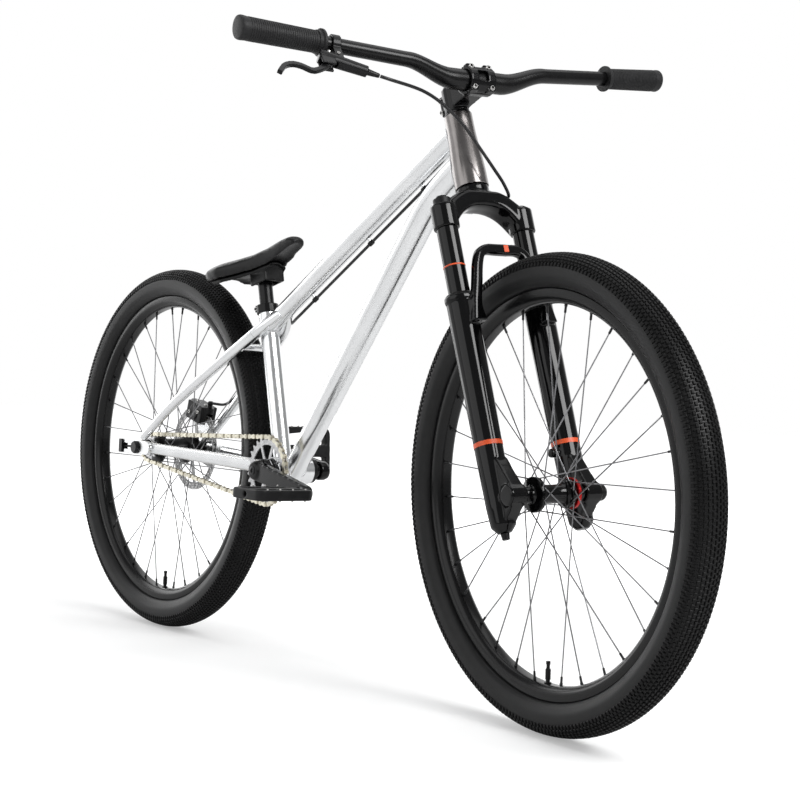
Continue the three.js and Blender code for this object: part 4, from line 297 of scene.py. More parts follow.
def grey(tone, level=1.0, blue=1.0):
    """A grey that is a share of a tone, with a share of its own for the blue."""
    return (tone * level, tone * level, tone * blue)


def darker(colour, share):
    return tuple(part * share for part in colour)


def raw_alloy():
    """Bare tubing, polished by hand: bright, with hazy smears."""
    finish = Finish("raw_alloy", (0.9, 0.905, 0.91), 0.2, 1.0)
    haze = finish.noise(19, 1)
    smear = finish.noise(60, 0, (1, 1, 0.3))
    tint = finish.between(haze, (0.8, 0.81, 0.82), (0.96, 0.965, 0.97))
    return finish.worn(tint, 0.16 + haze * 0.07 + smear * 0.04)


def head_alloy():
    """The head tube's darker, warmer skin, with painted reflection: the tube is bare alloy like the others,
    and its darker tone stands for the dark surroundings it reflects.
    """
    finish = Finish("head_alloy", (0.28, 0.26, 0.255), 0.24, 1.0)
    haze = finish.noise(40, 1)
    tint = finish.between(haze, (0.2, 0.185, 0.18), (0.31, 0.295, 0.29))
    return finish.worn(tint, 0.19 + haze * 0.1)


def weld_alloy():
    finish = Finish("weld_alloy", (0.8, 0.8, 0.81), 0.32, 1.0)
    grain = finish.noise(500, 3)
    return finish.worn(None, 0.24 + grain * 0.2, grain, 0.00005)


def gloss_black(name="gloss_black", tone=0.0015, rough=0.09, shine=0.3):
    """Shiny black paint with a little dust on it."""
    finish = Finish(name, grey(tone, 1, 1.15), rough, 0.0, shine)
    dust = finish.noise(70, 5)
    tint = finish.between(finish.above(dust, 0.58, 0.82), grey(tone, 1, 1.15), grey(tone, 3, 3.2))
    return finish.worn(tint, rough - 0.03 + dust * 0.07, finish.noise(380, 1), 0.000008)


def satin_black(name="satin_black", tone=0.004, rough=0.3, shine=0.25):
    """Black anodised or cast metal with a fine grain."""
    finish = Finish(name, grey(tone, 1, 1.08), rough, 0.0, shine)
    grain = finish.noise(1400, 2)
    rubbed = finish.above(finish.noise(55, 4), 0.45, 0.85)
    tint = finish.between(rubbed, grey(tone, 1, 1.08), grey(tone, 2, 2.15))
    return finish.worn(tint, rough - 0.05 + grain * 0.14, grain, 0.00002)


def bright_steel(name="bright_steel", colour=(0.66, 0.66, 0.67), rough=0.22):
    """Bare steel with darker stains."""
    finish = Finish(name, colour, rough, 1.0)
    stain = finish.noise(90, 4)
    tint = finish.between(finish.above(stain, 0.35, 0.7), darker(colour, 0.72), colour)
    return finish.worn(tint, rough - 0.06 + stain * 0.18, finish.noise(1500, 1), 0.000015)


def tyre_rubber(name, tone, rough, grit, shine):
    """Black rubber with dust and a gritty skin."""
    finish = Finish(name, grey(tone, 1, 1.06), rough, 0.0, shine)
    dust = finish.noise(34, 6, roughness=0.65)
    tint = finish.between(finish.above(dust, 0.42, 0.78), grey(tone, 1, 1.06), grey(tone, 1.9, 1.95))
    return finish.worn(tint, rough - 0.1 + dust * 0.2, finish.noise(grit, 3), 0.00012)


def grained_rubber(name, tone, scale, depth=0.0002, rough=0.5, shine=0.35):
    """Rubber, plastic or saddle skin with small pores."""
    finish = Finish(name, grey(tone), rough, 0.0, shine)
    mottle = finish.noise(60, 4)
    tint = finish.between(mottle, grey(tone, 0.7, 0.72), grey(tone, 1.9, 2))
    return finish.worn(tint, rough - 0.12 + mottle * 0.24, finish.cells(scale), depth)


def painted(name, colour, rough, metallic=0.0):
    finish = Finish(name, colour, rough, metallic)
    mottle = finish.noise(120, 3)
    tint = finish.between(mottle, darker(colour, 0.75), colour)
    return finish.worn(tint, rough - 0.08 + mottle * 0.16, finish.noise(1300, 1), 0.00001)


RAW = raw_alloy()
# The head tube's finish: its darker tone is painted reflection, not a different metal
HEAD_SKIN = head_alloy()
WELD = weld_alloy()
GLOSS = gloss_black()
STEM_BLACK = gloss_black("stem_black", 0.003, 0.14, 0.3)
CRANK_BLACK = gloss_black("crank_black", 0.002, 0.14, 0.25)
SATIN = satin_black()
RIM_BLACK = satin_black("rim_black", 0.003, 0.2, 0.28)
BAR_BLACK = satin_black("bar_black", 0.003, 0.24, 0.28)
DULL = satin_black("cast_black", 0.006, 0.42)
STEEL = bright_steel()
SPOKE_STEEL = bright_steel("spoke_steel", (0.3, 0.3, 0.31), 0.28)
CHAIN_STEEL = bright_steel("chain_steel", (0.9, 0.86, 0.72), 0.3)
CHAIN_DARK = bright_steel("chain_inner_steel", (0.62, 0.57, 0.45), 0.34)
ROTOR_STEEL = bright_steel("rotor_steel", (0.5, 0.5, 0.5), 0.3)
BOLT_STEEL = bright_steel("bolt_steel", (0.75, 0.74, 0.72), 0.22)
BLACK_STEEL = satin_black("blackened_steel", 0.012, 0.28)
TREAD = tyre_rubber("tread_rubber", 0.003, 0.5, 800, 0.2)
SIDEWALL = tyre_rubber("sidewall_rubber", 0.006, 0.4, 1100, 0.24)
GRIP = grained_rubber("grip_rubber", 0.012, 700, shine=0.25)
SADDLE = grained_rubber("saddle_skin", 0.004, 1300, 0.0001, 0.36, 0.32)
PLASTIC = grained_rubber("black_plastic", 0.003, 1600, 0.00005, 0.36, 0.24)
HOSE = painted("hose_black", (0.005, 0.005, 0.006), 0.3)
RED = painted("red_ring", (0.5, 0.012, 0.012), 0.25, 0.7)
ORANGE = painted("orange_mark", (0.8, 0.1, 0.02), 0.42)
LINING = painted("pad_lining", (0.18, 0.14, 0.1), 0.8)


# Lines, curves and rings
def even(first, last, count):
    """Evenly spaced numbers or points from first to last."""
    return [first + (last - first) * (i / (count - 1)) for i in range(count)]


def rise(value, start, end):
    """0 up to start, 1 from end on, and an even rise between them."""
    return min(max((value - start) / (end - start), 0), 1)


def soft_rise(value, start, end):
    share = rise(value, start, end)
    return share * share * (3 - 2 * share)


def circle(count, shift=0.0):
    """Even (cosine, sine) pairs round a circle."""
    turns = [2 * math.pi * (i + shift) / count for i in range(count)]
    return [(math.cos(turn), math.sin(turn)) for turn in turns]


def section(middle, across, out, wide, deep, sides, power=1.0, shift=0.0):
    """A ring about a point: an oval, or a soft-cornered rectangle where the power is below 1."""
    ring = []
    for a, b in circle(sides, shift):
        a = math.copysign(abs(a) ** power, a)
        b = math.copysign(abs(b) ** power, b)
        ring.append(middle + across * (a * wide / 2) + out * (b * deep / 2))
    return ring


def mixed(low, high, start, end, at):
    return low + (high - low) * ((at - start) / (end - start))


def flow(points, steps=8):
    """A smooth curve through points, as the hose's own route runs."""
    points = [Vector(spot) for spot in points]
    around = [2 * points[0] - points[1], *points, 2 * points[-1] - points[-2]]
    path = []
    for i in range(len(points) - 1):
        four = around[i:i + 4]
        knots = [0.0]
        for before, after in zip(four, four[1:]):
            knots.append(knots[-1] + max((after - before).length, 1e-6) ** 0.5)
        for step in range(steps):
            at = knots[1] + (knots[2] - knots[1]) * step / steps
            first = [mixed(four[j], four[j + 1], knots[j], knots[j + 1], at) for j in range(3)]
            second = [mixed(first[j], first[j + 1], knots[j], knots[j + 2], at) for j in range(2)]
            path.append(mixed(second[0], second[1], knots[1], knots[2], at))
    return path + [points[-1]]


def facing(spot, run):
    """A place at a spot whose local Z looks along run."""
    return Matrix.Translation(spot) @ Vector(run).to_track_quat("Z", "Y").to_matrix().to_4x4()


# Pieces
def smooth(piece, sharp):
    """Smooth shading, but for edges sharper than an angle in degrees."""
    piece.data.shade_smooth()
    piece.data.set_sharp_from_angle(angle=math.radians(sharp))
    return piece


class Form:
    """Points and faces of one piece in millimetres, gathered before they become a mesh."""

    def __init__(self):
        self.points, self.faces, self.marks = [], [], []

    def add(self, points, faces, mark=0, place=FRAME):
        """The mark is the number of the faces' paint."""
        start = len(self.points)
        self.points += [place @ Vector(spot) for spot in points]
        self.faces += [[start + i for i in face] for face in faces]
        self.marks += [mark] * len(faces)

    def rings(self, rings, mark=0, place=FRAME, looped=False, capped=True):
        """Walls from each ring to the next, with closed ends or looped back to the first ring."""
        count, size = len(rings), len(rings[0])
        faces = []
        for i in range(count if looped else count - 1):
            after = (i + 1) % count
            for j in range(size):
                k = (j + 1) % size
                faces.append((i * size + j, i * size + k, after * size + k, after * size + j))
        if capped and not looped:
            faces.append(tuple(range(size))[::-1])
            faces.append(tuple((count - 1) * size + j for j in range(size)))
        self.add([spot for ring in rings for spot in ring], faces, mark, place)

    def turned(self, profile, sides, place=FRAME, closed=False, mark=0):
        """A profile of (radius, height) pairs turned round the local Z axis."""
        rings = [[(radius * x, radius * y, height) for x, y in circle(sides)] for radius, height in profile]
        self.rings(rings, mark, place, closed)

    def tube(self, path, radius, sides, mark=0):
        """A round rod along a path, with one radius or one for each point."""
        radii = radius if isinstance(radius, list) else [radius] * len(path)
        path = [Vector(spot) for spot in path]
        rings = []
        side = (path[1] - path[0]).orthogonal()
        for i, spot in enumerate(path):
            run = (path[min(i + 1, len(path) - 1)] - path[max(i - 1, 0)]).normalized()
            side = (side - run * side.dot(run)).normalized()
            rings.append(section(spot, side, run.cross(side), 2 * radii[i], 2 * radii[i], sides))
        self.rings(rings, mark)

    def piece(self, name, paints, place=FRAME, sharp=40):
        """A mesh in metres at the origin, with its place in its points."""
        mesh = bpy.data.meshes.new(name)
        place = place @ IN_MM
        mesh.from_pydata([place @ spot for spot in self.points], [], self.faces)
        for paint in paints:
            mesh.materials.append(paint)
        mesh.polygons.foreach_set("material_index", self.marks)
        piece = smooth(add_object(name, mesh), sharp)
        mesh.update()
        return piece


def baked(piece):
    """Makes the result of a piece's modifiers its plain mesh."""
    graph = bpy.context.evaluated_depsgraph_get()
    piece.data = bpy.data.meshes.new_from_object(piece.evaluated_get(graph))
    piece.modifiers.clear()
    return piece


def finished(piece, body, node=None):
    """Hands a piece to its body, and lets it stand for a CAD node where one is named."""
    if piece.modifiers:
        baked(piece)
    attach(piece, body)
    if node:
        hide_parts(node)
    return piece


def stand_for(node, piece):
    """A piece takes a CAD node's place, with its body."""
    return finished(piece, BODY_OF[node], node)


def upright_faces(piece):
    """Closes seams and turns every face outwards."""
    work = bmesh.new()
    work.from_mesh(piece.data)
    bmesh.ops.remove_doubles(work, verts=work.verts, dist=0.000005)
    bmesh.ops.recalc_face_normals(work, faces=work.faces)
    work.to_mesh(piece.data)
    work.free()
    return piece


def merged_copy(node, paint, name=None):
    """The CAD node's triangles, joined at their corners, in another finish."""
    mesh = nodes[node].data.copy()
    work = bmesh.new()
    work.from_mesh(mesh)
    bmesh.ops.remove_doubles(work, verts=work.verts, dist=0.00002)
    bmesh.ops.dissolve_limit(work, angle_limit=math.radians(1), verts=work.verts, edges=work.edges)
    work.to_mesh(mesh)
    work.free()
    mesh.materials.clear()
    mesh.materials.append(paint)
    return add_object(name or node + "_skin", mesh)


def melt(piece, voxel, rounds):
    """Remeshes a piece finely and smooths it, so its corners are as soft as a forging's."""
    remesh = piece.modifiers.new("melt", "REMESH")
    remesh.mode = "VOXEL"
    remesh.voxel_size = voxel * MM
    remesh.use_smooth_shade = True
    soften = piece.modifiers.new("soften", "SMOOTH")
    soften.factor = 0.5
    soften.iterations = rounds
    return piece


def forged(node, paint, voxel, rounds):
    """A CAD node's copy with every corner melted soft."""
    stand_for(node, melt(merged_copy(node, paint), voxel, rounds))


def dressed(node, paint, edge):
    """A CAD node's copy with narrow bevels on its edges."""
    sharp = 44
    piece = smooth(merged_copy(node, paint), sharp)
    bevel = piece.modifiers.new("edge", "BEVEL")
    bevel.width = edge * MM
    bevel.segments = 2
    bevel.limit_method = "ANGLE"
    bevel.angle_limit = math.radians(sharp)
    bevel.harden_normals = True
    bevel.use_clamp_overlap = True
    stand_for(node, piece)


# Geometry node trees for what repeats
class Repeater(NodeTree):
    """A geometry node tree with named inputs, which copies a piece to many points."""

    def __init__(self, name, **inputs):
        super().__init__(bpy.data.node_groups.new(name, "GeometryNodeTree"))
        interface = self.tree.interface
        interface.new_socket("Result", in_out="OUTPUT", socket_type="NodeSocketGeometry")
        for label, kind in {"Piece": "Geometry", **inputs, "Paint": "Material"}.items():
            interface.new_socket(label, in_out="INPUT", socket_type="NodeSocket" + kind)
        self.inputs = self.make("NodeGroupInput").node

    def given(self, label):
        return Amount(self, self.inputs, label)

    def copied(self):
        settings = {"transform_space": "ORIGINAL"}
        return self.make("GeometryNodeObjectInfo", settings, {"Object": self.given("Copied")}, "Geometry")

    def about_y(self, angle):
        return self.make("ShaderNodeCombineXYZ", {}, {"Y": angle})

    def copy_to(self, points, piece, turn):
        """Ends the tree in plain mesh of one paint."""
        sockets = {"Points": points, "Instance": piece, "Rotation": turn}
        copies = self.make("GeometryNodeInstanceOnPoints", {}, sockets)
        plain = self.make("GeometryNodeRealizeInstances", {}, {0: copies})
        sockets = {"Geometry": plain, "Material": self.given("Paint")}
        self.make("NodeGroupOutput", {}, {0: self.make("GeometryNodeSetMaterial", {}, sockets)})

    def use(self, piece, **values):
        """Runs the tree on a piece and leaves its plain mesh there."""
        modifier = piece.modifiers.new(self.tree.name, "NODES")
        modifier.node_group = self.tree
        for item in self.tree.interface.items_tree:
            if item.name in values:
                modifier[item.identifier] = values[item.name]
        return baked(piece)


def round_repeater():
    """Copies a piece evenly round the Y axis."""
    tree = Repeater("round_the_axle", Count="Int")
    spots = tree.make("GeometryNodePoints", {}, {"Count": tree.given("Count")})
    angle = tree.make("GeometryNodeInputIndex") / tree.given("Count") * (2 * math.pi)
    tree.copy_to(spots, tree.given("Piece"), tree.about_y(angle))
    return tree


def path_repeater():
    """Copies another piece along this piece's edges, turned to follow them."""
    tree = Repeater("along_the_path", Copied="Object", Spacing="Float")
    curve = tree.make("GeometryNodeMeshToCurve", {}, {"Mesh": tree.given("Piece")})
    sockets = {"Curve": curve, "Length": tree.given("Spacing")}
    spots = tree.make("GeometryNodeCurveToPoints", {"mode": "LENGTH"}, sockets, "Points")
    tree.copy_to(spots, tree.copied(), Amount(tree, spots.node, "Rotation"))
    return tree


def turned_repeater():
    """Copies another piece to every point of this one, turned by the point's own angle about Y."""
    tree = Repeater("at_each_pin", Copied="Object")
    angle = tree.make("GeometryNodeInputNamedAttribute", {"data_type": "FLOAT"}, {"Name": "turn"})
    spots = tree.make("GeometryNodeMeshToPoints", {}, {"Mesh": tree.given("Piece")})
    tree.copy_to(spots, tree.copied(), tree.about_y(angle))
    return tree


ROUND = round_repeater()
ALONG = path_repeater()
AT_PINS = turned_repeater()

# Wheels, made about their own axle on the Y axis
ON_AXLE = Matrix.Rotation(math.radians(-90), 4, "X")
WHEEL_RADIUS = 336
CASING_WIDEST = 313.0
CASING_HALF = 27.2
CROWN_SHARE = 0.56
BEAD_DROP = 27
BEAD_HALF = 13.6
BEAD_BED, BEAD_BED_HALF = 280.5, 10
SIDEWALL_RIDGES = {3: 0.5, 5: 0.35, 9: 0.3}
KNOB_COUNT = 264
KNOB_ROWS = 13
KNOB_TALL = 2.3
# Length, width and height of a block in the middle rows and in the outermost ones
KNOB = (5.2, 3.7, KNOB_TALL)
EDGE_KNOB = (4.4, 5.6, KNOB_TALL - 0.6)
TREAD_SPREAD = 0.235
SPOKE_GROUPS = 8
SPOKE_RADIUS = 0.98
SPOKE_LEAN = math.radians(67.5)
SPOKE_SHIFT = 1.3
SPOKE_REACH = 264.6
SPOKE_HEAD_OUT = 4.2
NIPPLE_LONG = 12
# (distance along the spoke, radius) pairs
NIPPLE = [(0, 1.35), (0.6, 1.75), (8.5, 1.75), (9.2, 2.3), (12.4, 2.3)]
# Profiles of (radius, side) pairs
RIM_SIDE = [
    (264.9, 5.5), (265.3, 8.0), (267.6, 11.2), (271.5, 14.6), (274.5, 15.8), (276.5, 16.0), (284.2, 16.0),
    (285.2, 15.6), (285.5, 14.9), (285.2, 14.0), (284.2, 13.5), (279.2, 13.4), (276.0, 9.0), (274.6, 5.0),
]
FRONT_HUB = [
    (8.0, -50), (11.2, -50), (11.5, -49.2), (11.5, -39.5), (13.4, -37.0), (22.0, -35.2), (24.6, -34.6),
    (25.0, -33.6), (25.0, -28.6), (24.6, -27.6), (19.0, -26.0), (15.2, -22.5), (13.6, -12), (13.2, 0),
    (13.6, 10), (15.0, 16.5), (17.5, 20.0), (20.6, 20.6), (21.0, 21.6), (21.0, 26.4), (20.6, 27.4),
    (15.0, 29.5), (14.2, 33.0), (14.2, 44.5), (11.5, 46.0), (11.5, 49.2), (11.2, 50), (8.0, 50),
]
RED_RING = [(14.0, 30), (21.6, 30.4), (22.4, 31.2), (22.4, 34.6), (21.6, 35.4), (14.0, 35.6)]
REAR_HUB = [
    (5.6, -67.3), (10.5, -67.3), (12.8, -64), (13.0, -50.2), (17.0, -42.0), (17.4, -33), (28.0, -31.0),
    (29.0, -29.6), (29.0, -25.0), (28.0, -23.6), (20.0, -21.5), (17.2, -16), (16.8, 0), (17.2, 18),
    (20, 25.0), (28.0, 27.4), (29.0, 28.6), (29.0, 33.4), (28.0, 34.6), (21.5, 36.2), (21.0, 41),
    (21.0, 49.4), (13.0, 49.6), (13.0, 66.5), (12.2, 67.3), (5.6, 67.3),
]
# The valve's foot, stem and ring: sides, then (radius, height) pairs from the axle
VALVE_PARTS = [
    (12, [(0.4, -278), (3.0, -278), (3.0, -259), (0.4, -259)]),
    (16, [(0.4, -259.5), (3.6, -259.5), (3.9, -258.5), (3.9, -246.0), (3.4, -244.2), (2.6, -243.6),
          (2.5, -238.5), (3.1, -238.2), (3.2, -234.4), (2.9, -233.7), (0.4, -233.5)]),
    (12, [(2.6, -265.2), (5.2, -265.2), (5.2, -263.2), (2.6, -263.2)]),
]


def tyre_section(share):
    """A point of the tyre's casing as (radius, side), where the share runs from bead to bead."""
    turn = share * 2 - 1
    along = abs(turn)
    if along < CROWN_SHARE:
        angle = along / CROWN_SHARE * math.pi / 2
        radius = CASING_WIDEST + (WHEEL_RADIUS - KNOB_TALL - CASING_WIDEST) * math.cos(angle)
        side = CASING_HALF * math.sin(angle)
    else:
        angle = (along - CROWN_SHARE) / (1 - CROWN_SHARE) * math.pi / 2
        radius = CASING_WIDEST - BEAD_DROP * math.sin(angle)
        side = BEAD_HALF + (CASING_HALF - BEAD_HALF) * math.cos(angle)
    return radius, math.copysign(side, turn)


def tyre_casing(name, place, node):
    steps = 56
    profile = []
    for i in range(steps + 1):
        radius, side = tyre_section(i / steps)
        ridge = SIDEWALL_RIDGES.get(min(i, steps - i), 0)
        profile.append((radius, side + math.copysign(ridge, side)))
    form = Form()
    form.turned(profile + [(BEAD_BED, BEAD_BED_HALF), (BEAD_BED, -BEAD_BED_HALF)], 192, ON_AXLE, True)
    stand_for(node, upright_faces(form.piece(name, [SIDEWALL], place, 50)))


def tread_knob(form, share, angle, long, wide, tall):
    """One rubber block on the casing, tapered and softened at its top edge."""
    step = 0.004
    radius, side = tyre_section(share)
    ahead = tyre_section(share + step)
    behind = tyre_section(share - step)
    across = Vector((ahead[1] - behind[1], ahead[0] - behind[0])).normalized()
    out = Vector((-across.y, across.x))
    points = []
    for height, size in ((-1.0, 1.16), (tall * 0.62, 1.0), (tall, 0.68)):
        for a, b in ((-1, -1), (1, -1), (1, 1), (-1, 1)):
            sideways = side + across.x * b * wide * size / 2 + out.x * height
            away = radius + across.y * b * wide * size / 2 + out.y * height
            turn = angle + a * long * size / 2 / radius
            points.append((away * math.cos(turn), sideways, away * math.sin(turn)))
    faces = [(8, 9, 10, 11)]
    for level in (0, 4):
        for j in range(4):
            k = (j + 1) % 4
            faces.append((level + j, level + k, level + 4 + k, level + 4 + j))
    form.add(points, faces)


def tyre_tread(name, place, body):
    """One slice of tread blocks, then the whole ring of them."""
    form = Form()
    half = (KNOB_ROWS - 1) / 2
    for row in range(KNOB_ROWS):
        spread = (row - half) / half
        angle = math.pi / KNOB_COUNT if row % 2 else 0
        knob = EDGE_KNOB if row in (0, KNOB_ROWS - 1) else KNOB
        tread_knob(form, 0.5 + spread * TREAD_SPREAD, angle, *knob)
    piece = ROUND.use(form.piece(name, [TREAD]), Count=KNOB_COUNT, Paint=TREAD)
    smooth(upright_faces(piece), 25)
    piece.data.transform(place)
    finished(piece, body)


def rim_ring(name, place, node):
    """A box rim with rounded shoulders, hooked edges and a sunken bead bed."""
    form = Form()
    form.turned(RIM_SIDE + [(radius, -side) for radius, side in reversed(RIM_SIDE)], 192, ON_AXLE, True)
    stand_for(node, upright_faces(form.piece(name, [RIM_BLACK], place)))


def valve_stem(name, place, node):
    form = Form()
    for sides, profile in VALVE_PARTS:
        form.turned(profile, sides)
    stand_for(node, upright_faces(form.piece(name, [PLASTIC], place)))


def hub_shell(name, place, node, paints, *profiles):
    form = Form()
    for mark, profile in enumerate(profiles):
        form.turned(profile, 48, ON_AXLE, True, mark)
    stand_for(node, upright_faces(form.piece(name, paints, place, 38)))


def spoke_at(form, side, way, flange, hole_radius, rim_angle):
    """A bent spoke from its flange hole to its nipple, with the head outside."""
    shift = way * SPOKE_SHIFT
    hub_angle = rim_angle + way * SPOKE_LEAN
    hub = Vector((hole_radius * math.cos(hub_angle), flange + shift, hole_radius * math.sin(hub_angle)))
    end = Vector((SPOKE_REACH * math.cos(rim_angle), side * 2 + shift, SPOKE_REACH * math.sin(rim_angle)))
    run = (end - hub).normalized()
    head = hub - Y * (way * SPOKE_HEAD_OUT)
    nipple = end - run * NIPPLE_LONG
    form.tube([head, hub - Y * (way * 1.2), hub + run * 1.6, nipple], SPOKE_RADIUS, 8)
    form.tube([head - Y * (way * 0.9), head], [1.3, 2.0], 8)
    form.tube([nipple + run * far for far, _ in NIPPLE], [radius for _, radius in NIPPLE], 8, 1)


def spokes(name, place, body, right, left, right_hole, left_hole):
    """One group of four spokes, then the whole wheel of them; each copy gets its two paints again."""
    form = Form()
    step = math.pi / SPOKE_GROUPS
    for side, flange, hole, phase in ((-1, -right, right_hole, 0.75), (1, left, left_hole, 0.25)):
        for i, way in ((0, 1), (1, -1)):
            spoke_at(form, side, way, flange, hole, (i + phase) * step)
    paints = [SPOKE_STEEL, BLACK_STEEL]
    piece = ROUND.use(form.piece(name, paints), Count=SPOKE_GROUPS, Paint=SPOKE_STEEL)
    piece.data.materials.clear()
    for paint in paints:
        piece.data.materials.append(paint)
    piece.data.polygons.foreach_set("material_index", form.marks * SPOKE_GROUPS)
    smooth(piece, 60)
    piece.data.transform(place)
    finished(piece, body)


def wheel(end, place):
    body = BODY_OF[end + "_tyre"]
    tyre_casing(end + "_tyre_casing", place, end + "_tyre")
    tyre_tread(end + "_tyre_tread", place, body)
    rim_ring(end + "_rim_ring", place, end + "_rim")
    valve_stem(end + "_valve_stem", place, end + "_valve")


wheel("front", FRONT_WHEEL)
wheel("rear", REAR_WHEEL)
hub_shell("front_hub_shell", FRONT_WHEEL, "front_hub_and_spokes", [GLOSS, RED], FRONT_HUB, RED_RING)
hub_shell("rear_hub_shell", REAR_WHEEL, "rear_hub_and_spokes", [SATIN], REAR_HUB)
spokes("front_spokes", FRONT_WHEEL, "front_wheel", 31, 24, 22, 18)
spokes("rear_spokes", REAR_WHEEL, "rear_wheel", 27, 31, 26, 26)

# Frame
HEAD_FOOT = STEERING_FOOT / MM
HEAD_RUN = (HEAD.to_3x3() @ Z).normalized()
HEAD_LOW, HEAD_TOP = 483.5, 601.9
HEAD_LOW_RADIUS, HEAD_TOP_RADIUS = 25.5, 21.3
HEAD_BORE = 18.2
TOP_REAR, TOP_FRONT = Vector((321.06, 0, 565)), Vector((823.4, 0, 863.7))
TOP_RUN = (TOP_FRONT - TOP_REAR).normalized()
TOP_RADII, DOWN_RADII, SEAT_RADIUS = (15, 17), (18.5, 21.5), 16
DOWN_LOW, DOWN_BEND = Vector((415.85, 0, 321.5)), Vector((744.8, 0, 739.5))
DOWN_RUN = Vector((0.6184, 0, 0.7859))
DOWN_CONTROL, DOWN_HEAD = DOWN_BEND + 44 * DOWN_RUN, Vector((841.6, 0, 815.0))
SHELL = CRANK_AXLE / MM
SHELL_PROFILE = [(18.6, -36.5), (22.4, -36.5), (23, -36), (23, 36), (22.4, 36.5), (18.6, 36.5)]
SEAT_RUN = Vector((-0.26608, 0, 1)).normalized()
SEAT_FOOT = Vector((385.85, 0, 321.5))
SEAT_TOP = SEAT_FOOT + SEAT_RUN * ((596 - SEAT_FOOT.z) / SEAT_RUN.z)
# The left stays' routes; the right ones are their mirror images
CHAINSTAY_ENDS = [(396.85, 33.5, 325.5), (27, 64.5, 337)]
CHAINSTAY_WIDE, CHAINSTAY_TALL, CHAINSTAY_TAPER = 15, 24, 0.82
SEATSTAY_ROUTE = [(20, 71.5, 356), (118, 64, 424), (240, 43.5, 502), (318.2, 27, 553)]
# At the dropout, beside the seat tube and at the tip
SEATSTAY_RADII = (7.5, 10.4, 9.8)
SEATSTAY_TIP = [(318.2, 27, 553), (334, 22.5, 564), (352, 14, 578), (366, 7, 588)]
BRIDGE_ROUTE = [(288, y, 528) for y in (-34, -16, 0, 16, 34)]
GUIDES = [Vector((444.6, 9.9, 613.7)), Vector((595.4, 9.9, 703.3)), Vector((728.5, 9.9, 782.5))]
GUIDE_FOOT = Vector((-0.45, -0.42, 0.79)).normalized() * 8.0
HOSE_POINTS = [
    (58, 51, 423.1), (88.8, 59.8, 423.1), (118, 64, 438.5), (179, 53.8, 477.5), (240, 43.5, 519),
    (279.1, 35.3, 549.5), (306.1, 31, 572), (336.1, 31, 572), (394.4, 9.9, 583.8), (444.6, 9.9, 613.7),
    (595.4, 9.9, 703.3), (728.5, 9.9, 782.5), (778.7, 9.9, 812.3), (748.4, 20, 780.4), (783.8, 38, 793.6),
    (854.9, 50.5, 769.8), (884.3, 48.1, 765.8), (895.4, 28.5, 781.7), (897.2, 5.5, 802.7), (893, -17, 827.9),
    (887.2, -42.6, 856.7), (881.4, -76.1, 883.3), (877.8, -112.5, 900.1), (882.8, -181.1, 908.1),
    (877.2, -194, 911.3),
]
WALK_STEP = 0.5
BEAD_RADIUS = 2.3
BEAD_HALF_LENGTH = 1.3
BEAD_SPACING = 1.9


def head_radius(height):
    """The head tube's outside, wider at its lower end."""
    return HEAD_LOW_RADIUS + (HEAD_TOP_RADIUS - HEAD_LOW_RADIUS) * soft_rise(height, 499.5, 585.9)


def tubing(node, form):
    stand_for(node, form.piece(node + "_skin", [RAW], FRAME, 50))


def main_tubes():
    top = Form()
    top.tube(even(TOP_REAR, TOP_FRONT, 13), even(*TOP_RADII, 13), 48)
    for guide in GUIDES:
        top.tube([guide, guide + GUIDE_FOOT], [2.1, 2.6], 12)
    tubing("top_tube", top)

    down = Form()
    curve = []
    for t in even(0, 1, 13)[1:]:
        curve.append(DOWN_BEND * (1 - t) ** 2 + DOWN_CONTROL * (2 * t * (1 - t)) + DOWN_HEAD * t * t)
    radii = even(*DOWN_RADII, 13) + [DOWN_RADII[1]] * len(curve)
    down.tube(even(DOWN_LOW, DOWN_BEND, 13) + curve, radii, 48)
    tubing("down_tube", down)

    seat = Form()
    seat.tube(even(SEAT_FOOT, SEAT_TOP, 11), SEAT_RADIUS, 48)
    tubing("seat_tube", seat)

    shell = Form()
    shell.turned(SHELL_PROFILE, 64, Matrix.Translation(SHELL) @ ON_AXLE, True)
    stand_for("bottom_bracket_shell", upright_faces(shell.piece("crank_shell_skin", [RAW])))

    head = Form()
    profile = [(HEAD_BORE, HEAD_LOW), (HEAD_LOW_RADIUS - 0.5, HEAD_LOW), (HEAD_LOW_RADIUS, HEAD_LOW + 0.5)]
    profile += [(head_radius(height), height) for height in even(HEAD_LOW, HEAD_TOP, 25)[1:-1]]
    profile += [(HEAD_TOP_RADIUS, HEAD_TOP - 0.5), (HEAD_TOP_RADIUS - 0.5, HEAD_TOP), (HEAD_BORE, HEAD_TOP)]
    head.turned(profile, 96, closed=True)
    stand_for("head_tube", upright_faces(head.piece("head_tube_skin", [HEAD_SKIN], HEAD)))


def chainstay_rings(start, end):
    """A straight stay with an oval section that shrinks towards its end."""
    run = (end - start).normalized()
    side = run.cross(Z).normalized()
    up = side.cross(run)
    rings = []
    for middle, size in zip(even(start, end, 13), even(1, CHAINSTAY_TAPER, 13)):
        rings.append(section(middle, side, up, CHAINSTAY_WIDE * size, CHAINSTAY_TALL * size, 40))
    return rings


def stays():
    for side, word in SIDES:
        chainstay = Form()
        chainstay.rings(chainstay_rings(*(Vector((x, side * y, z)) for x, y, z in CHAINSTAY_ENDS)))
        tubing("chainstay_" + word, chainstay)
        seatstay = Form()
        path = flow([(x, side * y, z) for x, y, z in SEATSTAY_ROUTE])
        seatstay.tube(path, even(*SEATSTAY_RADII[:2], len(path)), 36)
        tip = flow([(x, side * y, z) for x, y, z in SEATSTAY_TIP], 6)
        seatstay.tube(tip, even(*SEATSTAY_RADII[1:], len(tip)), 36)
        if word == "left":
            seatstay.tube(BRIDGE_ROUTE, 7, 28)
        tubing("seatstay_" + word, seatstay)


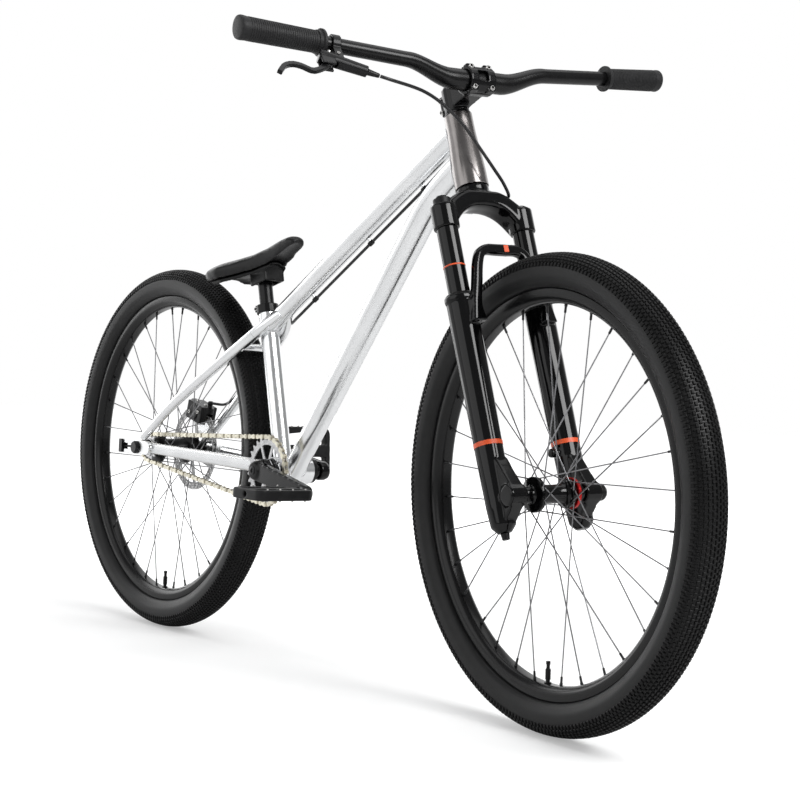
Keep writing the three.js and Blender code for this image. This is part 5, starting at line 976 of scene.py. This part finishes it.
def meeting_ring(start, run, radius, foot, axis, outside, reach):
    """Where a tube meets another one, found by a walk along run from a ring at start."""
    side = run.orthogonal().normalized()
    ring = []
    for spot in section(start, side, run.cross(side), 2 * radius, 2 * radius, 40):
        for _ in range(int(reach / WALK_STEP)):
            along = (spot - foot).dot(axis)
            if (spot - foot - axis * along).length <= outside(along):
                ring.append(spot)
                break
            spot = spot + run * WALK_STEP
    return ring


def weld_bead():
    """One flat round bead, which overlaps the next one."""
    bead = Form()
    rings = []
    for height, share in ((-0.8, 0.6), (-0.3, 0.95), (0.3, 0.95), (0.8, 0.6)):
        wide = 2 * share * BEAD_RADIUS
        rings.append(section(Z * (height * BEAD_HALF_LENGTH), X, Y, wide, wide, 8))
    bead.rings(rings)
    return bead.piece("frame_welds_bead", [WELD], FRAME, 80)


def frame_welds():
    """Weld ripples round every meeting of the main tubes."""
    last_run = (DOWN_HEAD - DOWN_CONTROL).normalized()
    head = (HEAD_FOOT, HEAD_RUN, lambda along: head_radius(along) + 0.2)
    seat = (SEAT_FOOT, SEAT_RUN, lambda along: 16.1)
    shell = (SHELL, Y, lambda along: 23.1)
    rings = [
        meeting_ring(TOP_FRONT - TOP_RUN * 60, TOP_RUN, 16.6, *head, 120),
        meeting_ring(DOWN_HEAD - last_run * 62, last_run, 21.4, *head, 130),
        meeting_ring(TOP_REAR + TOP_RUN * 50, -TOP_RUN, 15.2, *seat, 90),
        meeting_ring(SEAT_FOOT + SEAT_RUN * 60, -SEAT_RUN, 16.0, *shell, 90),
        meeting_ring(DOWN_LOW + DOWN_RUN * 60, -DOWN_RUN, 18.6, *shell, 90),
    ]
    points, edges = [], []
    for ring in rings:
        if len(ring) > 8:
            start = len(points)
            points += [spot * MM for spot in ring]
            edges += [(start + j, start + (j + 1) % len(ring)) for j in range(len(ring))]
    mesh = bpy.data.meshes.new("frame_welds")
    mesh.from_pydata(points, edges, [])
    bead = weld_bead()
    piece = add_object("frame_welds", mesh)
    ALONG.use(piece, Copied=bead, Spacing=BEAD_SPACING * MM, Paint=WELD)
    bpy.data.objects.remove(bead)
    finished(smooth(piece, 80), "frame")


def hose_clips():
    """Black clips that hold the hose under the top tube."""
    form = Form()
    for guide in GUIDES:
        form.tube([guide + TOP_RUN * far for far in (-4.5, -4.2, 4.2, 4.5)], [3.6, 4.2, 4.2, 3.6], 24)
    finished(form.piece("hose_clips", [PLASTIC], FRAME, 50), "frame")


def brake_line():
    form = Form()
    form.tube(flow(HOSE_POINTS, 10), 2.5, 16)
    piece = form.piece("brake_line", [HOSE], FRAME, 60)
    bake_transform(piece)
    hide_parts("brake_hose")


# Fork, in the steering frame; profiles are (radius, height) pairs about a leg
LEG_AHEAD, LEG_SIDE = 12, 68
AXLE_AHEAD = 45.4
LOWER_LEG = [
    (0, -45), (9.0, -45), (10, -44.4), (17.95, -35), (19.6, -10), (20.4, 50), (21.8, 264), (21.8, 294),
    (23.1, 295.4), (23.5, 296.5), (23.5, 303.2), (22.8, 304), (16.7, 304), (16.7, 58), (0, 58),
]
LEG_SEAL = [(16.2, 304), (21.4, 304), (21.8, 304.8), (20.2, 306.6), (17.2, 307.6), (16.2, 307.8)]
LEG_BAND = [(20.3, 79), (20.95, 79.2), (21.0, 85.6), (20.3, 85.8)]
TRAVEL_RING = [(15.9, 348.8), (16.35, 349.1), (16.42, 350), (16.35, 350.9), (15.9, 351.2)]
STANCHION = [(0, 165), (15.4, 165), (16, 165.6), (16, 446), (0, 446)]
STANCHION_CAP = [(0, 445), (13.5, 445), (13.5, 449), (12.6, 450), (0, 450.2)]
CROWN_CLAMP = [(0, 409), (18.6, 409), (19.5, 410), (19.5, 444.6), (18.4, 446), (0, 446)]
CROWN_RACE = [(0, 452), (23.0, 452), (24.5, 470), (24.5, 482.6), (23.9, 483.2), (0, 483.2)]
STEERER = [(0, 470), (14.1, 470), (14.1, 646), (0, 646)]
# (ahead, height) pairs of the web between leg and axle, and (side, height) pairs of half the arch
AXLE_WEB = [(0, -35), (22, -35), (56, -10.6), (60.4, 0), (56, 10.6), (31, 60), (2, 60)]
HALF_ARCH = [(-62, 258), (-61.5, 282), (-53, 318), (-45, 349), (-38, 363), (-27, 368.5), (-10, 369)]
# From the inner to the outer face of an axle foot, the feet of the arch, and the brake post on the left leg
FOOT_INSIDE, FOOT_OUTSIDE, FOOT_RADIUS = 51, 79.5, 15
WEB_SIDE, WEB_HALF = 65.3, 11
ARCH_FOOT_SIDE, ARCH_FOOT_LOW, ARCH_FOOT_TOP = 62.5, 262, 292
POST_AHEAD, POST_HEIGHT = 14, 68
ARCH_AHEAD = 38
ARCH_WIDE, ARCH_DEEP, ARCH_FLARE = 16.5, 14.5, 9
# The crown's bridge: half its length and its flat middle, then its top, foot and depth at the middle
CROWN_HALF, CROWN_FLAT = 72, 24.5
CROWN_TOP, CROWN_LOW, CROWN_DEEP = 472.5, 445.5, 42


def at_leg(side):
    return Matrix.Translation((LEG_AHEAD, side * LEG_SIDE, 0))


def arch_rings():
    """Sections of the square arch, a little thinner at its shoulders and wider at its feet."""
    route = HALF_ARCH + [(-y, z) for y, z in reversed(HALF_ARCH)]
    path = flow([(ARCH_AHEAD, y, z) for y, z in route], 5)
    last = len(path) - 1
    rings = []
    for i, spot in enumerate(path):
        run = (path[min(i + 1, last)] - path[max(i - 1, 0)]).normalized()
        share = abs(i / last * 2 - 1)
        wide = ARCH_WIDE - 1.5 * math.sin(share * math.pi) + ARCH_FLARE * rise(share, 0.86, 1)
        rings.append(section(spot, run.cross(X).normalized(), X, wide, ARCH_DEEP, 20, 0.5, 0.5))
    return rings


def lower_legs():
    form = Form()
    for side, _ in SIDES:
        form.turned(LOWER_LEG, 64, at_leg(side))
        foot = [(AXLE_AHEAD, side * y, 0) for y in (FOOT_INSIDE, FOOT_OUTSIDE)]
        form.tube(foot, FOOT_RADIUS, 40)
        web = [[(x, side * WEB_SIDE + half, z) for x, z in AXLE_WEB] for half in (-WEB_HALF, WEB_HALF)]
        form.rings(web)
        for x in (18, 26, 33):
            ends = [(x, side * ARCH_FOOT_SIDE, z) for z in (ARCH_FOOT_LOW, ARCH_FOOT_TOP)]
            form.tube(ends, [9.5, 9.0], 20)
    form.rings(arch_rings())
    form.tube([(POST_AHEAD, y, POST_HEIGHT) for y in (62, 41)], 4.5, 20)
    form.tube([(POST_AHEAD, y, POST_HEIGHT) for y in (46, 35)], [6.2, 7.2], 24)
    stand_for("fork_lowers", melt(form.piece("fork_lowers_cast", [GLOSS], STEERING, 60), 1.6, 7))


def crown():
    """Two leg clamps, the bridge between them that thins outwards, and the steerer on its race."""
    form = Form()
    for side, _ in SIDES:
        form.turned(CROWN_CLAMP, 64, at_leg(side))
    rings = []
    for y in even(-CROWN_HALF, CROWN_HALF, 33):
        ease = rise(abs(y), CROWN_FLAT, CROWN_HALF)
        top = CROWN_TOP - 27.5 * ease ** 1.6
        low = CROWN_LOW - 36 * rise(abs(y), 0, 58) ** 2.6
        middle = Vector((6.5 + 2.5 * ease, y, (top + low) / 2))
        rings.append(section(middle, Z, X, top - low, CROWN_DEEP - 5 * ease, 28, 0.55, 0.5))
    form.rings(rings)
    form.turned(CROWN_RACE, 64)
    form.turned(STEERER, 48)
    stand_for("fork_crown", melt(form.piece("fork_crown_forging", [GLOSS], STEERING, 60), 1.4, 9))


def fork_trim():
    seals, bands, ring = Form(), Form(), Form()
    for side, _ in SIDES:
        seals.turned(LEG_SEAL, 64, at_leg(side), True)
        bands.turned(LEG_BAND, 64, at_leg(side), True)
    bands.rings([section(Vector((45.6, y, 369)), Z, X, 10.5, 1.0, 20, 0.5, 0.5) for y in (1, 9)])
    ring.turned(TRAVEL_RING, 64, at_leg(-1), True)
    seals = upright_faces(seals.piece("wiper_seals", [PLASTIC], STEERING))
    finished(seals, "fork_lowers")
    finished(upright_faces(bands.piece("orange_bands", [ORANGE], STEERING)), "fork_lowers")
    finished(upright_faces(ring.piece("travel_ring", [ORANGE], STEERING, 60)), "steering")


def stanchions():
    for side, word in SIDES:
        form = Form()
        form.turned(STANCHION, 64, at_leg(side))
        if word == "left":
            form.turned(STANCHION_CAP, 48, at_leg(side))
        piece = form.piece("stanchion_" + word + "_tube", [GLOSS], STEERING)
        stand_for("stanchion_" + word, upright_faces(piece))


# Bar, grips and their bolts, in the steering frame
BAR_CLAMP = Vector((60, 0, 630))
BAR_FLAT, BAR_BENT = 44, 125
BAR_HALF = 378 - 4.3
BAR_THICK, BAR_THIN = 15.9, 11.1
BAR_RISE = 20
UPSWEEP = math.tan(math.radians(5))
BACKSWEEP = math.tan(math.radians(8))
GRIP_START, GRIP_END = 254, 378
RIBS_START, RIBS_END = GRIP_START + 12, GRIP_END - 14
GRIP_RIB_STEP, GRIP_RIB_TALL = 3.3, 0.7
# Bolt heads as (radius, height) pairs
FACEPLATE_BOLT, STEM_CLAMP_BOLT, TOP_CAP_BOLT = (4.0, 3.4), (3.8, 3.4), (4.6, 2.2)
ROTOR_BOLT, SEAT_CLAMP_BOLT, CRANK_BOLT = (3.4, 2.2), (3.4, 2.4), (7.5, 1.4)
CALIPER_SIDE_BOLT, CALIPER_TOP_BOLT, LEVER_BOLT = (3.6, 2.6), (3.0, 2.4), (2.6, 2.0)


def bar_rings(form, profile):
    """Rings about the bar's bent centre line, from (radius, place across) pairs."""
    lean = math.radians(HEAD_ANGLE)
    rings = []
    for radius, place in profile:
        past = max(abs(place) - BAR_BENT, 0)
        up = soft_rise(abs(place), BAR_FLAT, BAR_BENT) * BAR_RISE + past * UPSWEEP
        back = past * BACKSWEEP
        ahead = up * math.cos(lean) - back * math.sin(lean)
        middle = BAR_CLAMP + Vector((ahead, place, up * math.sin(lean) + back * math.cos(lean)))
        rings.append(section(middle, X, Z, 2 * radius, 2 * radius, 48))
    form.rings(rings)


def handlebar():
    profile = []
    for place in even(-BAR_HALF, BAR_HALF, 121):
        share = rise(abs(place), BAR_FLAT, BAR_BENT)
        profile.append((BAR_THICK + (BAR_THIN - BAR_THICK) * share, place))
    form = Form()
    bar_rings(form, profile)
    stand_for("handlebar", form.piece("handlebar_tube", [BAR_BLACK], STEERING, 50))


def grips():
    """A collar, a sleeve of narrow ribs that swells outwards, and a rounded end."""
    collar = [(11.6, 0), (19.4, 0), (20, 0.6), (20, 3.4), (19.4, 4), (17.2, 4.6), (17.0, 9.4), (15.3, 10)]
    end = [(16.9, 11), (17.5, 5), (17.4, 2.5), (16.6, 0.6), (14.8, 0), (0.5, 0)]
    profile = [(radius, GRIP_START + far) for radius, far in collar]
    place = RIBS_START
    while place < RIBS_END:
        swell = 15.3 + 1.3 * (place - GRIP_START) / (GRIP_END - GRIP_START)
        rib = swell + GRIP_RIB_TALL
        profile += [(swell, place), (rib, place + 0.5), (rib, place + 1.7), (swell, place + 2.2)]
        place += GRIP_RIB_STEP
    profile += [(radius, GRIP_END - far) for radius, far in end]
    for side, word in SIDES:
        form = Form()
        bar_rings(form, [(radius, side * place) for radius, place in profile])
        piece = form.piece("grip_" + word + "_sleeve", [GRIP], STEERING, 32)
        stand_for("grip_" + word, upright_faces(piece))


def socket_bolt(form, place, radius, tall):
    """A round bolt head with a dark hollow in it, standing on a face along local Z."""
    sides = 18
    hollow = radius * 0.56
    head = ((radius, 0), (radius, tall * 0.75), (radius * 0.86, tall), (hollow, tall))
    for mark, levels in enumerate((head, ((hollow, tall), (hollow * 0.9, tall * 0.3)))):
        rings = [[(x * wide, y * wide, height) for x, y in circle(sides)] for wide, height in levels]
        form.rings(rings, mark, place, capped=False)
    form.add(rings[-1], [tuple(range(sides))], 1, place)


def fit_bolts(name, form, body, place=FRAME, head=BOLT_STEEL):
    finished(form.piece(name, [head, BLACK_STEEL], place), body)


def steering_bolts():
    form = Form()
    for y in (-15.3, 15.3):
        for z in (BAR_CLAMP.z - 16.5, BAR_CLAMP.z + 16.5):
            socket_bolt(form, facing((73.0, y, z), X), *FACEPLATE_BOLT)
    for z in (617, 636):
        socket_bolt(form, facing((-20.5, -11.6, z), -Y), *STEM_CLAMP_BOLT)
    into_mm = (STEERING @ IN_MM).inverted()
    top = max((into_mm @ vertex.co).z for vertex in nodes["stem_top_cap"].data.vertices)
    socket_bolt(form, facing((0, 0, top - 0.8), Z), *TOP_CAP_BOLT)
    fit_bolts("stem_bolts", form, "steering", STEERING)


# Drive and brake
CHAIN_PITCH = 12.7
CHAIN_LINE = 46.5
RING_TEETH, COG_TEETH = 28, 12
PIN_SHIFT = CHAIN_PITCH / 2
# Each kind of link: its first pin, its plates' distance from the middle and thickness,
# its pins' half length, radius and sides, and its paint
LINKS = {
    "outer": (0, 2.75, 1.1, 4.2, 1.9, 10, CHAIN_STEEL),
    "inner": (1, 1.75, 0.95, 1.75, 3.9, 14, CHAIN_DARK),
}
# Two rows of holes in the rotor: distance from the axle, share of a step, radius
ROTOR_HOLES = ((70.5, 0.0, 2.3), (75.5, 0.5, 1.9))
HOLES_IN_ROW = 36
ROTOR_BOLTS = 6
# How far outside a box a line starts that looks for the piece's face, in metres
FAR_OFF = 0.1


def chain_pins():
    """Every pin of the chain in order, round the ring and the cog."""
    ring = CHAIN_PITCH / (2 * math.sin(math.pi / RING_TEETH))
    cog = CHAIN_PITCH / (2 * math.sin(math.pi / COG_TEETH))
    ring_middle, cog_middle = CRANK_AXLE.xz / MM, REAR_AXLE.xz / MM
    across = ring_middle - cog_middle
    slope = math.atan2(across.y, across.x)
    lean = math.asin((ring - cog) / across.length)
    straight = across.length * math.cos(lean)
    ring_rate = 2 * math.pi / (RING_TEETH * CHAIN_PITCH)
    cog_rate = 2 * math.pi / (COG_TEETH * CHAIN_PITCH)
    ring_arc, cog_arc = (math.pi + 2 * lean) / ring_rate, (math.pi - 2 * lean) / cog_rate
    links = 2 * round((2 * straight + ring_arc + cog_arc) / (2 * CHAIN_PITCH))
    run = (links * CHAIN_PITCH - ring_arc - cog_arc) / 2
    high, low = slope + math.pi / 2 + lean, slope - math.pi / 2 - lean

    def at_ring(turn):
        return ring_middle + Vector((math.cos(turn), math.sin(turn))) * ring

    def at_cog(turn):
        return cog_middle + Vector((math.cos(turn), math.sin(turn))) * cog

    pins = []
    for i in range(links):
        far = i * CHAIN_PITCH
        if far < ring_arc:
            pins.append(at_ring(high - far * ring_rate))
        elif far < ring_arc + run:
            pins.append(at_ring(low).lerp(at_cog(low), (far - ring_arc) / run))
        elif far < ring_arc + run + cog_arc:
            pins.append(at_cog(low - (far - ring_arc - run) * cog_rate))
        else:
            pins.append(at_cog(high).lerp(at_ring(high), (far - ring_arc - run - cog_arc) / run))
    return pins


def link_plates(form, near, thick):
    """Two figure-of-eight plates either side of the chain's middle."""
    outline = []
    for end, middle in ((1, 0), (-1, 180)):
        for turn in even(middle - 118, middle + 118, 11):
            turn = math.radians(turn)
            outline.append((PIN_SHIFT * end + 4.1 * math.cos(turn), 4.1 * math.sin(turn)))
        outline.append((0, 2.1 * end))
    for side in (-1, 1):
        form.rings([[(x, side * y, z) for x, z in outline] for y in (near, near + thick)])


def chain():
    pins = chain_pins()
    for word, (first, near, thick, half, radius, sides, paint) in LINKS.items():
        form = Form()
        link_plates(form, near, thick)
        for x in (-PIN_SHIFT, PIN_SHIFT):
            form.tube([(x, -half, 0), (x, half, 0)], radius, sides)
        link = form.piece(word + "_link", [paint])
        spots, turns = [], []
        for i in range(first, len(pins), 2):
            here, after = pins[i], pins[(i + 1) % len(pins)]
            middle, run = (here + after) / 2, after - here
            spots.append(Vector((middle.x, -CHAIN_LINE, middle.y)) * MM)
            turns.append(-math.atan2(run.y, run.x))
        mesh = bpy.data.meshes.new("chain_" + word + "_links")
        mesh.from_pydata(spots, [], [])
        mesh.attributes.new("turn", "FLOAT", "POINT").data.foreach_set("value", turns)
        piece = AT_PINS.use(add_object("chain_" + word + "_links", mesh), Copied=link, Paint=paint)
        bpy.data.objects.remove(link)
        stand_for("chain", smooth(upright_faces(piece), 40))


def brake_disc():
    """The rotor's own plate, bored through with rings of holes."""
    piece = merged_copy("brake_rotor", ROTOR_STEEL, "rotor_disc")
    drill = Form()
    for far, shift, radius in ROTOR_HOLES:
        hole = Form()
        hole.tube([(far, 45, 0), (far, 57, 0)], radius, 12)
        drill.add(hole.points, hole.faces, 0, Matrix.Rotation(shift * 2 * math.pi / HOLES_IN_ROW, 4, "Y"))
    holes = ROUND.use(drill.piece("rotor_drill", [ROTOR_STEEL]), Count=HOLES_IN_ROW, Paint=ROTOR_STEEL)
    holes.data.transform(REAR_WHEEL)
    upright_faces(holes)
    bore = piece.modifiers.new("bore", "BOOLEAN")
    bore.operation = "DIFFERENCE"
    bore.object = holes
    stand_for("brake_rotor", smooth(piece, 30))
    bpy.data.objects.remove(holes)


def rotor_bolts():
    form = Form()
    for x, z in circle(ROTOR_BOLTS, 0.5):
        socket_bolt(form, facing((17 * x, 52, 17 * z), Y), *ROTOR_BOLT)
    fit_bolts("rotor_bolts", form, "rear_wheel", REAR_WHEEL)


def bolt_on(form, node, start, run, radius, tall):
    """A bolt head, 1 mm deep in the first face of a CAD node that a line in metres meets."""
    met, spot, out, _ = nodes[node].ray_cast(Vector(start), run)
    if met:
        socket_bolt(form, facing(spot / MM - out, out), radius, tall + 1)


def box_of(node):
    """The two corners of a CAD node's box, and its middle."""
    low, high = (Vector(corner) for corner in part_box(node))
    return low, high, (low + high) / 2


def small_bolts():
    """Bolts of the seat clamp, caliper, lever clamp and cranks, each on its own body."""
    on_frame, on_lever, on_cranks = Form(), Form(), Form()
    low, _, middle = box_of("seat_clamp")
    bolt_on(on_frame, "seat_clamp", (low.x + 0.006, low.y - FAR_OFF, middle.z), Y, *SEAT_CLAMP_BOLT)
    low, high, middle = box_of("brake_caliper")
    for shift in (-0.014, 0.014):
        start = (middle.x + shift, low.y - FAR_OFF, middle.z)
        bolt_on(on_frame, "brake_caliper", start, Y, *CALIPER_SIDE_BOLT)
        start = (middle.x + shift, middle.y, high.z + FAR_OFF)
        bolt_on(on_frame, "brake_caliper", start, -Z, *CALIPER_TOP_BOLT)
    low, high, middle = box_of("lever_body")
    for far in (0.018, 0.034):
        bolt_on(on_lever, "lever_body", (high.x + FAR_OFF, low.y + far, middle.z), -X, *LEVER_BOLT)
    for side, word in SIDES:
        start = (CRANK_AXLE.x, side * 0.3, CRANK_AXLE.z)
        bolt_on(on_cranks, "crank_arm_" + word, start, -side * Y, *CRANK_BOLT)
    fit_bolts("frame_bolts", on_frame, "frame")
    fit_bolts("lever_bolts", on_lever, "steering")
    fit_bolts("crank_bolts", on_cranks, "crank", head=BLACK_STEEL)


# Saddle and pedals
def saddle_skin():
    piece = melt(merged_copy("saddle_cover", SADDLE, "saddle_shell"), 3.2, 14)
    rounder = piece.modifiers.new("rounder", "SUBSURF")
    rounder.levels = rounder.render_levels = 1
    stand_for("saddle_cover", piece)


def pedal_pins():
    for _, word in SIDES:
        low, high, middle = box_of("pedal_" + word)
        half = (high - low) / 2 / MM
        form = Form()
        for a in (-1, 1):
            for b in (-0.75, -0.25, 0.25, 0.75):
                spot = middle / MM + Vector((a * (half.x - 4.5), b * (half.y - 5), 0))
                for up in (-Z, Z):
                    path = [spot + up * (half.z + far) for far in (-1.5, 1.1, 1.6)]
                    form.tube(path, [1.7, 1.7, 1.1], 8)
        finished(form.piece("pedal_pins_" + word, [BOLT_STEEL]), "pedal_" + word)


main_tubes()
stays()
frame_welds()
hose_clips()
brake_line()
lower_legs()
crown()
fork_trim()
stanchions()
handlebar()
grips()
steering_bolts()
chain()
brake_disc()
rotor_bolts()
small_bolts()
saddle_skin()
pedal_pins()

# CAD pieces that keep their form: with corners melted soft (paint, voxel size, rounds of smoothing) ...
FORGED = {
    "stem": (STEM_BLACK, 1.1, 5),
    "stem_faceplate": (STEM_BLACK, 1.0, 5),
    "crank_arm_right": (CRANK_BLACK, 1.3, 18),
    "crank_arm_left": (CRANK_BLACK, 1.3, 18),
    "lever_body": (SATIN, 0.9, 5),
    "lever_blade": (SATIN, 0.8, 5),
    "brake_caliper": (SATIN, 0.9, 10),
    "saddle_base": (PLASTIC, 1.4, 14),
    "pedal_right": (DULL, 1.3, 14),
    "pedal_left": (DULL, 1.3, 14),
    "seatpost": (SATIN, 1.0, 4),
    "seat_clamp": (SATIN, 0.9, 4),
}
# ... and with bevelled edges (paint, width of the bevel, pieces)
BEVELLED = (
    (SATIN, 0.6, "headset_top_cover", "stem_top_cap", "front_axle"),
    (DULL, 0.6, "compression_knob", "rebound_knob"),
    (SATIN, 0.5, "bottom_bracket_cup_right", "bottom_bracket_cup_left"),
    (SATIN, 0.5, "chain_tensioner_right", "chain_tensioner_left"),
    (STEEL, 0.25, "chainring", "rear_cog"),
    (BLACK_STEEL, 0.4, "axle_bolt_right", "axle_bolt_left", "rear_axle"),
    (STEEL, 0.3, "headset_bearing_upper", "headset_bearing_lower"),
    (LINING, 0.2, "brake_pad_outer", "brake_pad_inner"),
)
dressed("dropout_right", RAW, 0.8)
dressed("dropout_left", RAW, 0.8)
for node, (paint, voxel, rounds) in FORGED.items():
    forged(node, paint, voxel, rounds)
for paint, edge, *members in BEVELLED:
    for node in members:
        dressed(node, paint, edge)
